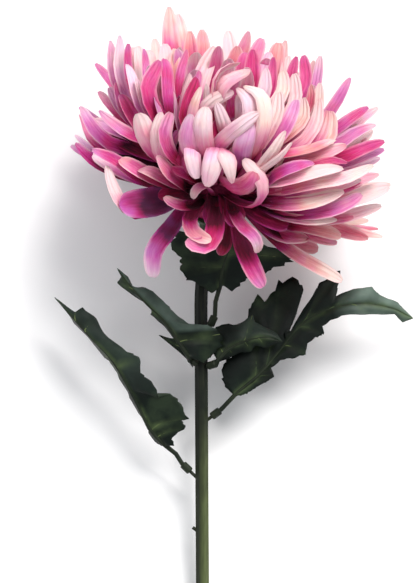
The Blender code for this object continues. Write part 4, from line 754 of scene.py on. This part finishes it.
chains = []
tip_draw = random.Random(TIP_SEED)
for number, (points, facings, width, pale, warm) in enumerate(petal_lines):
    bend = tip_draw.uniform(-TIP_BEND, TIP_BEND)
    sharp = tip_draw.uniform(0.0, SHARPEST)
    # Painted shade: how much a petal gets, from how far under the head its root lies
    root_lean = (points[0] - HEAD_CENTRE).angle(HEAD_AXIS)
    deep = min(1.0, max(0.0, (root_lean - PAINTED_SHADE_FROM) / (PAINTED_SHADE_TO - PAINTED_SHADE_FROM)))
    deep *= 1.0 - PAINTED_SHADE_LESS_RIGHT * max(0.0, (points[0] - HEAD_CENTRE).x / ROOT_RADIUS)
    chain = []
    for step in ROWS:
        share = step / PATH_STEPS
        bent = facings[step] * (bend * max(0.0, share - TIP_FROM) ** 2)
        narrow = 1.0 - sharp * (max(0.0, share - SHARP_FROM) / (1.0 - SHARP_FROM)) ** 2
        chain.append((LAID @ bent_at_floor(points[step] + bent),
                      {"facing": TURNED @ facings[step], "width": width * narrow, "share": share,
                       "pale": pale, "warm": warm, "deep": deep, "petal": float(number)}))
    chains.append(chain)
petals = grown(line_mesh("petals", chains), petal_tree, {})

core_foam, tree, shader = new_finish("core_foam", 0.8, 0.2)
foam = colour_steps(noise(object_place(tree), 700.0), (0.3, 0.7),
                    ((0.20, 0.008, 0.05), (0.36, 0.03, 0.10)))
wire(shader, {"Base Color": foam})
bm = bmesh.new()
bmesh.ops.create_icosphere(bm, subdivisions=3, radius=CORE_RADIUS,
                           matrix=LAID @ Matrix.Translation(HEAD_CENTRE))
core = built("core", bm)
core.data.materials.append(core_foam)
for piece in (petals, core):
    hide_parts("bloom")
    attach(piece, "root")

# Leaves: lobed blades stamped from stiffened green cloth, each pressed to its veins and glued on
# a plastic rib. The rib runs on as a stalk into a sleeve that plugs on to a peg of the stem.

# A leaf, in mm: where its peg's line leaves the stem's middle and which way it points, how far the
# left and the right edge rise, the points of the stalk and the rib, and the outline's rows (percent
# of the rib, left x and y, right x and y). A painted highlight lightens the blade where it faces the
# key light: from a share of the rib on, in full over a share more, with a strength on the left and
# on the right half.
LEAVES = {
    "leaf_1": {
        "joint": (-0.8, 93.5, 0), "aim": (-0.72, 0.69, 0.05), "rises": (-9, 5),
        "satin": (0.3, 0.2, 0.0, 0.16), "stalk": ((-13, 107, 1),),
        "rib": ((-18, 111, 2), (-25, 118, 4), (-31, 130, 6), (-43, 151, 9), (-55, 164, 8), (-71, 182, 3)),
        "edges": ((3, -20, 111, -14, 111), (7, -23, 113, -15, 115), (12, -26, 117, -8, 120),
            (15, -26, 119, -11, 123), (18, -28, 123, -7, 124), (25, -31, 127, -11, 131),
            (34, -35, 134, -16, 136), (38, -36, 137, -21, 134), (46, -40, 143, -25, 142),
            (51, -41, 146, -30, 146), (56, -45, 152, -30, 153), (62, -47, 153, -36, 156),
            (76, -55, 163, -48, 165), (82, -59, 167, -51, 172), (87, -62, 170, -58, 177),
            (90, -63, 172, -58, 173), (94, -66, 176, -63, 176))},
    "leaf_2": {
        "joint": (-1, 121, 0), "aim": (0.8, 0.6, 0.06), "rises": (-6, 3),
        "satin": (0.6, 0.12, 0.95, 0.65), "stalk": (),
        "rib": ((15, 135, 2), (28, 146, 3), (38, 158, 2), (47, 169, 2), (59, 176, 3), (75, 179, 4),
            (90, 177, 0), (101, 172, -6)),
        "edges": ((3, 11, 139, 18, 135), (6, 9, 144, 21, 136), (9, 10, 150, 24, 138),
            (12, 14, 155, 27, 140), (15, 21, 166, 31, 142), (17, 22, 176, 32, 143), (19, 25, 182, 34, 144),
            (21, 31, 181, 33, 147), (23, 36, 188, 32, 148), (26, 45, 192, 35, 150), (28, 48, 185, 37, 152),
            (31, 45, 175, 41, 153), (34, 38, 166, 44, 153), (38, 42, 166, 49, 155), (42, 48, 176, 50, 160),
            (45, 54, 185, 54, 163), (49, 56, 189, 57, 164), (52, 66, 195, 58, 165), (55, 65, 189, 57, 168),
            (58, 64, 183, 61, 171), (66, 72, 186, 68, 174), (76, 81, 187, 78, 174), (82, 85, 183, 84, 174),
            (90, 93, 180, 92, 174), (95, 96, 177, 96, 170))},
    "leaf_3": {
        "joint": (-1, 149, 0), "aim": (-0.5, 0.35, 0.79), "rises": (-6, -4),
        "satin": (0.24, 0.04, 0.08, 0.72), "stalk": (),
        "rib": ((-7, 154, 11.5), (-12, 161, 12), (-19, 171, 13), (-30, 182, 14), (-41, 196, 11)),
        "edges": ((4, -5, 149, 0, 151), (10, -8, 153, 6, 156), (16, -21, 164, 9, 159),
            (22, -12, 160, 9, 165), (30, -15, 164, 2, 169), (40, -18, 168, -6, 169),
            (50, -25, 174, -13, 174), (58, -23, 176, -18, 179), (68, -28, 180, -24, 185),
            (76, -32, 182, -29, 187), (84, -41, 189, -33, 186), (92, -39, 192, -36, 192))},
    "leaf_4": {
        "joint": (-1, 148, 0), "aim": (0.75, 0.25, 0.61), "rises": (-5, -2),
        "satin": (0.35, 0.1, 0.15, 0.0), "stalk": (),
        "rib": ((7, 152, 6.2), (12, 157, 6.5), (20, 161, 7), (30, 163, 8), (38, 161, 7)),
        "edges": ((8, 3, 159, 2, 149), (18, 4, 166, 12, 153), (28, 9, 169, 14, 154), (40, 16, 169, 19, 156),
            (52, 24, 174, 23, 156), (60, 25, 170, 25, 159), (72, 29, 168, 30, 158), (86, 35, 165, 35, 160))},
    "leaf_5": {
        "joint": (-1, 158, 0), "aim": (0.38, 0.88, 0.28), "rises": (-3, -4),
        "satin": (0.5, 0.1, 0.0, 0.0), "stalk": ((6, 180, 6.5),),
        "rib": ((8, 187, 9), (10, 198, 14), (13, 206, 18), (16, 213, 22)),
        "edges": ((6, 4, 184, 10, 188), (12, 0, 187, 14, 185), (22, -4, 190, 18, 189),
            (32, -8, 191, 21, 191), (42, -11, 197, 30, 193), (50, -10, 201, 33, 196),
            (60, -15, 206, 39, 198), (68, -14, 210, 43, 201), (78, -13, 214, 38, 205),
            (88, -4, 212, 31, 206), (94, 6, 211, 24, 211))},
}

STEM_REACH = 0.0034  # the stem's radius over its ridges
GAP = 0.0003
PEG_RADIUS = 0.0008
PEG_IN_SLEEVE = 0.0030
SLEEVE_RADIUS = 0.0019
SLEEVE_LENGTH = 0.0052
SLEEVE_CHAMFER = 0.0004
SLEEVE_SIDES = 16
STALK_RADIUS = 0.0011
STALK_LEAD = 0.0005
STALK_SIDES = 10
RIB_TIP_RADIUS = 0.00040
RIB_THINNING = 1.6  # the rib is at its thinnest from 1 / RIB_THINNING of its length on
RIB_STEPS = 14
RIB_END = 0.93
BLADE_THICKNESS = 0.0005
ROWS_BETWEEN = 4  # rows of points from one row of the outline to the next
COLUMNS = 11  # columns of points on each side of the rib
WELD = 1e-6
BULGE = 0.015  # the outline swells by this share between two of its points
TEETH = 0.15  # and its small teeth are up to this share of the half's width
TEETH_FINENESS = 110.0
TEETH_APART = 10.0  # how far apart the two sides read the noise of their teeth
PUFF = 0.0007  # how far the cloth swells between two side veins
PUFF_EASE = 0.003  # it swells in full at this distance from them,
PUFF_OUT = 1.15  # and no more from 1 / PUFF_OUT of the way out on
RISE_CURVE = 1.2  # how late the blade rises on the way out
WAVE = 0.0022  # how far the edges wave up and down
WAVE_CURVE = 1.5
WAVE_FINENESS = 60.0
HIGHLIGHT_EASE = 4.0  # the painted highlight is full from 1 / this value of the way out on
VEIN_LEAN = 0.07  # a side vein leaves the rib by this share below its lobe's tip
VEIN_BOW = 0.6
VEIN_REACH = 0.88
VEIN_RADIUS = 0.00042
VEIN_TAPER = 0.5
VEIN_STEPS = 8
VEIN_SIDES = 6
NO_VEIN = 0.1  # taken as the share of the rib to the next side vein on a half without any

leaf_cloth, tree, shader = new_finish("leaf_cloth", 0.46, 0.14)
where = object_place(tree)
edgeward, vein, satin = read(tree, "edgeward", "vein", "satin")
mottle = noise(where, 55.0, 4.0)
green = colour_steps(mottle, (0.34, 0.52, 0.66), (
    (0.002, 0.004, 0.003), (0.004, 0.009, 0.006), (0.017, 0.028, 0.015)))
# Painted highlight: the blade is painted a light grey green, in patches, where it faces the key light.
highlight_patches = grade(noise(where, 90.0), 0.3, 0.7, 0.45, 1.0)
green = dye(times(satin, highlight_patches), green, (0.115, 0.165, 0.135))
line = grade(vein, 0.0003, 0.0030, 1.0, 0.0)
line = times(line, grade(edgeward, 0.2, 1.0, 1.0, 0.1))
line = times(line, grade(mottle, 0.42, 0.62, 0.1, 0.7))
green = dye(times(line, 0.7), green, (0.10, 0.145, 0.055))
cloth = applied(woven, Place=where, Threads=2600.0)
creases = times(noise(where, 420.0, 2.0), 0.5)
pressed = calc("MULTIPLY_ADD", cloth["Weave"], 0.10, creases)
wire(shader, {"Base Color": green, "Normal": relief(pressed, 0.0004, 0.6)})

stalk_plastic = mottled_plastic("stalk_plastic", 700.0, 120.0, (0.006, 0.010, 0.006),
                                (0.020, 0.028, 0.014))

vein_paint, tree, shader = new_finish("vein_paint", 0.5, 0.14)
green = colour_steps(noise(object_place(tree), 70.0, 2.0), (0.30, 0.50, 0.68), (
    (0.010, 0.020, 0.011), (0.045, 0.068, 0.027), (0.150, 0.190, 0.070)))
wire(shader, {"Base Color": green})

stalk_tree, given = new_tree("leaf stalks", {"Sides": STALK_SIDES})
ring = put("GeometryNodeCurvePrimitiveCircle", {"Resolution": given["Sides"], "Radius": 1.0})
lines = put("GeometryNodeMeshToCurve", {0: given["Lines"]})
close_tree(swept(lines, ring, named(stalk_tree, "radius")), stalk_plastic)


def measured(leaf):
    """A leaf in metres, with its outline's marks, its length, its halves' widths and its veins."""
    made = {key: [Vector(point) * MM for point in leaf[key]] for key in ("stalk", "rib")}
    rib = made["rib"]
    edges = [(percent / 100, *(length * MM for length in row)) for percent, *row in leaf["edges"]]
    made["joint"] = Vector(leaf["joint"]) * MM
    made["rises"] = [rise * MM for rise in leaf["rises"]]
    made["marks"] = [(0.0, *rib[0].xy, *rib[0].xy), *edges, (1.0, *rib[-1].xy, *rib[-1].xy)]
    made["length"] = sum((b - a).length for a, b in zip(rib, rib[1:]))
    made["widths"], made["veins"] = [], []
    for side in (0, 1):
        reaches = [(math.dist(row[1 + 2 * side:3 + 2 * side], smooth_point(rib, row[0]).xy), row[0])
                   for row in edges]
        made["widths"].append(max(reaches)[0])
        made["veins"].append([b[1] for a, b, c in zip(reaches, reaches[1:], reaches[2:])
                              if b[0] > a[0] and b[0] >= c[0]])
    return {**leaf, **made}


def peg_line(leaf):
    """Unit direction of a leaf's peg, and how far from the stem's middle its sleeve starts."""
    aim = Vector(leaf["aim"]).normalized()
    rise = abs(aim.y)
    clear = STEM_REACH + 2 * GAP + SLEEVE_RADIUS * rise
    return aim, clear / math.sqrt(1.0 - rise * rise)


def add_sleeve(bm, mouth, aim):
    """A turned sleeve with a blind bore for the peg."""
    bore, bore_end = PEG_RADIUS + GAP, PEG_IN_SLEEVE + GAP
    profile = ((0.0, bore_end), (bore, bore_end), (bore, 0.0), (SLEEVE_RADIUS - SLEEVE_CHAMFER, 0.0),
               (SLEEVE_RADIUS, SLEEVE_CHAMFER), (SLEEVE_RADIUS, SLEEVE_LENGTH - SLEEVE_CHAMFER),
               (STALK_RADIUS, SLEEVE_LENGTH), (0.0, SLEEVE_LENGTH))
    turn = aim.to_track_quat("Z", "Y").to_matrix()
    rings = []
    for radius, along in profile:
        angles = [2 * math.pi * i / SLEEVE_SIDES for i in range(SLEEVE_SIDES if radius else 1)]
        rings.append([bm.verts.new(LAID @ (mouth + turn @ Vector((
            radius * math.cos(angle), radius * math.sin(angle), along)))) for angle in angles])
    made = []
    for low, high in zip(rings, rings[1:]):
        for i in range(SLEEVE_SIDES):
            j = (i + 1) % SLEEVE_SIDES
            corners = [low[i % len(low)], low[j % len(low)], high[j % len(high)], high[i % len(high)]]
            made.append(bm.faces.new(list(dict.fromkeys(corners))))
    bmesh.ops.recalc_face_normals(bm, faces=made)
    for face in made:
        face.smooth = False
        face.material_index = 1


def vein_share(mark, out):
    """The share of the rib beside which a side vein runs, at a share of the way out."""
    start = max(0.0, mark - VEIN_LEAN)
    return start + (mark - start) * out ** VEIN_BOW


def half_reach(leaf, side, share):
    """The rib's point at a share, and the way from there to the outline on one side."""
    low, high = next((a, b) for a, b in zip(leaf["marks"], leaf["marks"][1:]) if share <= b[0])
    t = (share - low[0]) / (high[0] - low[0])
    spine = smooth_point(leaf["rib"], share)
    x, y = (low[i] + (high[i] - low[i]) * t for i in (1 + 2 * side, 2 + 2 * side))
    where = Vector((share * TEETH_FINENESS, TEETH_APART * side, leaf["rib"][0].x / MM))
    fullness = 1.0 + BULGE * math.sin(math.pi * t) + TEETH * mathnoise.noise(where)
    return spine, Vector((x - spine.x, y - spine.y, 0.0)) * fullness


def blade_point(leaf, side, share, out):
    """A point of the blade, how wide it is there, and how near the next side vein is."""
    spine, reach = half_reach(leaf, side, share)
    nearest = min((abs(share - vein_share(mark, out)) for mark in leaf["veins"][side]), default=NO_VEIN)
    nearest *= leaf["length"]
    swell = PUFF * min(1.0, nearest / PUFF_EASE) * math.sin(math.pi * min(out * PUFF_OUT, 1.0))
    rise = leaf["rises"][side] * reach.length / leaf["widths"][side] * out ** RISE_CURVE
    flat = spine + reach * out
    wave = WAVE * out ** WAVE_CURVE * mathnoise.noise(flat * WAVE_FINENESS)
    return flat + Vector((0.0, 0.0, rise + swell + wave)), reach.length, nearest


def build_blade(name, leaf):
    """A leaf's cloth, on both sides of its rib."""
    highlight_from, highlight_over, *highlight_sides = leaf["satin"]
    shares = [0.0]
    for mark in leaf["marks"][1:]:
        step = mark[0] - shares[-1]
        shares += [shares[-1] + step * k / ROWS_BETWEEN for k in range(1, ROWS_BETWEEN + 1)]
    bm = bmesh.new()
    layers = [bm.verts.layers.float.new(label) for label in ("edgeward", "vein", "satin")]
    grid = []
    for share in shares:
        # how strong the painted highlight is in this row
        highlight_share = min(1.0, max(0.0, (share - highlight_from) / highlight_over))
        line = []
        for column in range(-COLUMNS, COLUMNS + 1):
            side = 0 if column < 0 else 1
            out = abs(column) / COLUMNS
            point, reach, nearest = blade_point(leaf, side, share, out)
            satin = highlight_sides[side] * highlight_share * min(1.0, HIGHLIGHT_EASE * out)
            vertex = bm.verts.new(LAID @ point)
            for layer, value in zip(layers, (out, min(nearest, out * reach), satin)):
                vertex[layer] = value
            line.append(vertex)
        grid.append(line)
    for low, high in zip(grid, grid[1:]):
        for a in range(2 * COLUMNS):
            bm.faces.new((low[a], low[a + 1], high[a + 1], high[a]))
    bmesh.ops.remove_doubles(bm, verts=bm.verts, dist=WELD)
    bmesh.ops.recalc_face_normals(bm, faces=bm.faces)
    for face in bm.faces:
        face.smooth = True
    blade = built(name + "_dressed", bm)
    for finish in (leaf_cloth, stalk_plastic, vein_paint):
        blade.data.materials.append(finish)
    solid = blade.modifiers.new("thickness", "SOLIDIFY")
    solid.thickness = BLADE_THICKNESS
    solid.offset = 0.0
    return flattened(blade)


def stalk_line(leaf, aim, start):
    """The line from inside the sleeve along the stalk and the rib, with its radius."""
    ends = (start + PEG_IN_SLEEVE + 2 * GAP + STALK_RADIUS / 2, start + SLEEVE_LENGTH + STALK_LEAD)
    guides = [leaf["joint"] + aim * end for end in ends] + leaf["stalk"]
    line = [(LAID @ point, {"radius": STALK_RADIUS}) for point in guides]
    for step in range(RIB_STEPS + 1):
        share = RIB_END * step / RIB_STEPS
        radius = STALK_RADIUS + (RIB_TIP_RADIUS - STALK_RADIUS) * min(1.0, share * RIB_THINNING)
        line.append((LAID @ smooth_point(leaf["rib"], share), {"radius": radius}))
    return line


def vein_line(leaf, side, mark):
    """The line of a side vein on the blade, with its radius."""
    line = []
    for step in range(VEIN_STEPS + 1):
        out = VEIN_REACH * step / VEIN_STEPS
        point = blade_point(leaf, side, vein_share(mark, out), out)[0]
        line.append((LAID @ point, {"radius": VEIN_RADIUS * (1.0 - VEIN_TAPER * out)}))
    return line


def build_leaf(name, leaf):
    """One piece of a leaf's blade, rib, side veins, stalk and sleeve."""
    blade = build_blade(name, leaf)
    aim, start = peg_line(leaf)
    veins = [vein_line(leaf, side, mark) for side in (0, 1) for mark in leaf["veins"][side]]
    bm = bmesh.new()
    bm.from_mesh(blade.data)
    for lines, sides, slot in (([stalk_line(leaf, aim, start)], STALK_SIDES, 1), (veins, VEIN_SIDES, 2)):
        before = len(bm.faces)
        tubes = grown(line_mesh(name + "_tubes", lines), stalk_tree, {"Sides": sides})
        bm.from_mesh(tubes.data)
        bm.faces.ensure_lookup_table()
        for face in bm.faces[before:]:
            face.material_index = slot
        bpy.data.objects.remove(tubes, do_unlink=True)
    add_sleeve(bm, leaf["joint"] + aim * start, aim)
    bm.to_mesh(blade.data)
    bm.free()
    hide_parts(name)
    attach(blade, "root")


for leaf_name, leaf_data in LEAVES.items():
    build_leaf(leaf_name, measured(leaf_data))

# Surroundings: a sheet of white paper under the flower, a large soft light from the upper right
# of its face, a weak one from the left, and the camera that looks down on the face.

PAPER_REACH = 4.0
PAPER_COLOUR = (0.93, 0.93, 0.93, 1.0)
SKY_COLOUR = (0.95, 0.97, 1.0, 1.0)
SKY_STRENGTH = 0.62
SENSOR = 36.0
FARTHEST = 50.0

bm = bmesh.new()
bmesh.ops.create_grid(bm, x_segments=1, y_segments=1, size=PAPER_REACH)
paper = built("paper", bm)
paper_white, _, shader = new_finish("paper_white", 0.9, 0.1)
wire(shader, {"Base Color": PAPER_COLOUR})
paper.data.materials.append(paper_white)

scene = bpy.context.scene
scene.world = bpy.data.worlds.new("studio")
scene.world.use_nodes = True
tree = scene.world.node_tree
wire(tree.nodes["Background"], {"Color": SKY_COLOUR, "Strength": SKY_STRENGTH})
scene.view_settings.view_transform = "Standard"


def soft_light(name, place, size, watts, colour):
    """A square light that shines at the head and isn't seen itself."""
    data = bpy.data.lights.new(name, "AREA")
    data.size = size
    data.energy = watts
    data.color = colour
    light = placed(name, data)
    light.location = place
    away = Vector(place) - LAID @ HEAD_CENTRE
    light.rotation_euler = away.to_track_quat("Z", "Y").to_euler()
    light.visible_camera = False


soft_light("key", (1.20, 2.10, 2.55), 1.8, 156.0, (1.0, 0.975, 0.96))
soft_light("fill", (-1.6, 0.4, 1.8), 1.4, 10.0, (0.97, 0.98, 1.0))

data = bpy.data.cameras.new("camera")
data.lens = SENSOR * VIEW_DISTANCE / (2 * VIEW_MIDDLE[1] * SQUARE)
data.clip_end = FARTHEST
camera = placed("camera", data)
camera.location = LAID @ VIEW_POINT + TURNED @ (VIEWER * VIEW_DISTANCE)
camera.rotation_euler = (LEAN, 0.0, 0.0)
scene.camera = camera
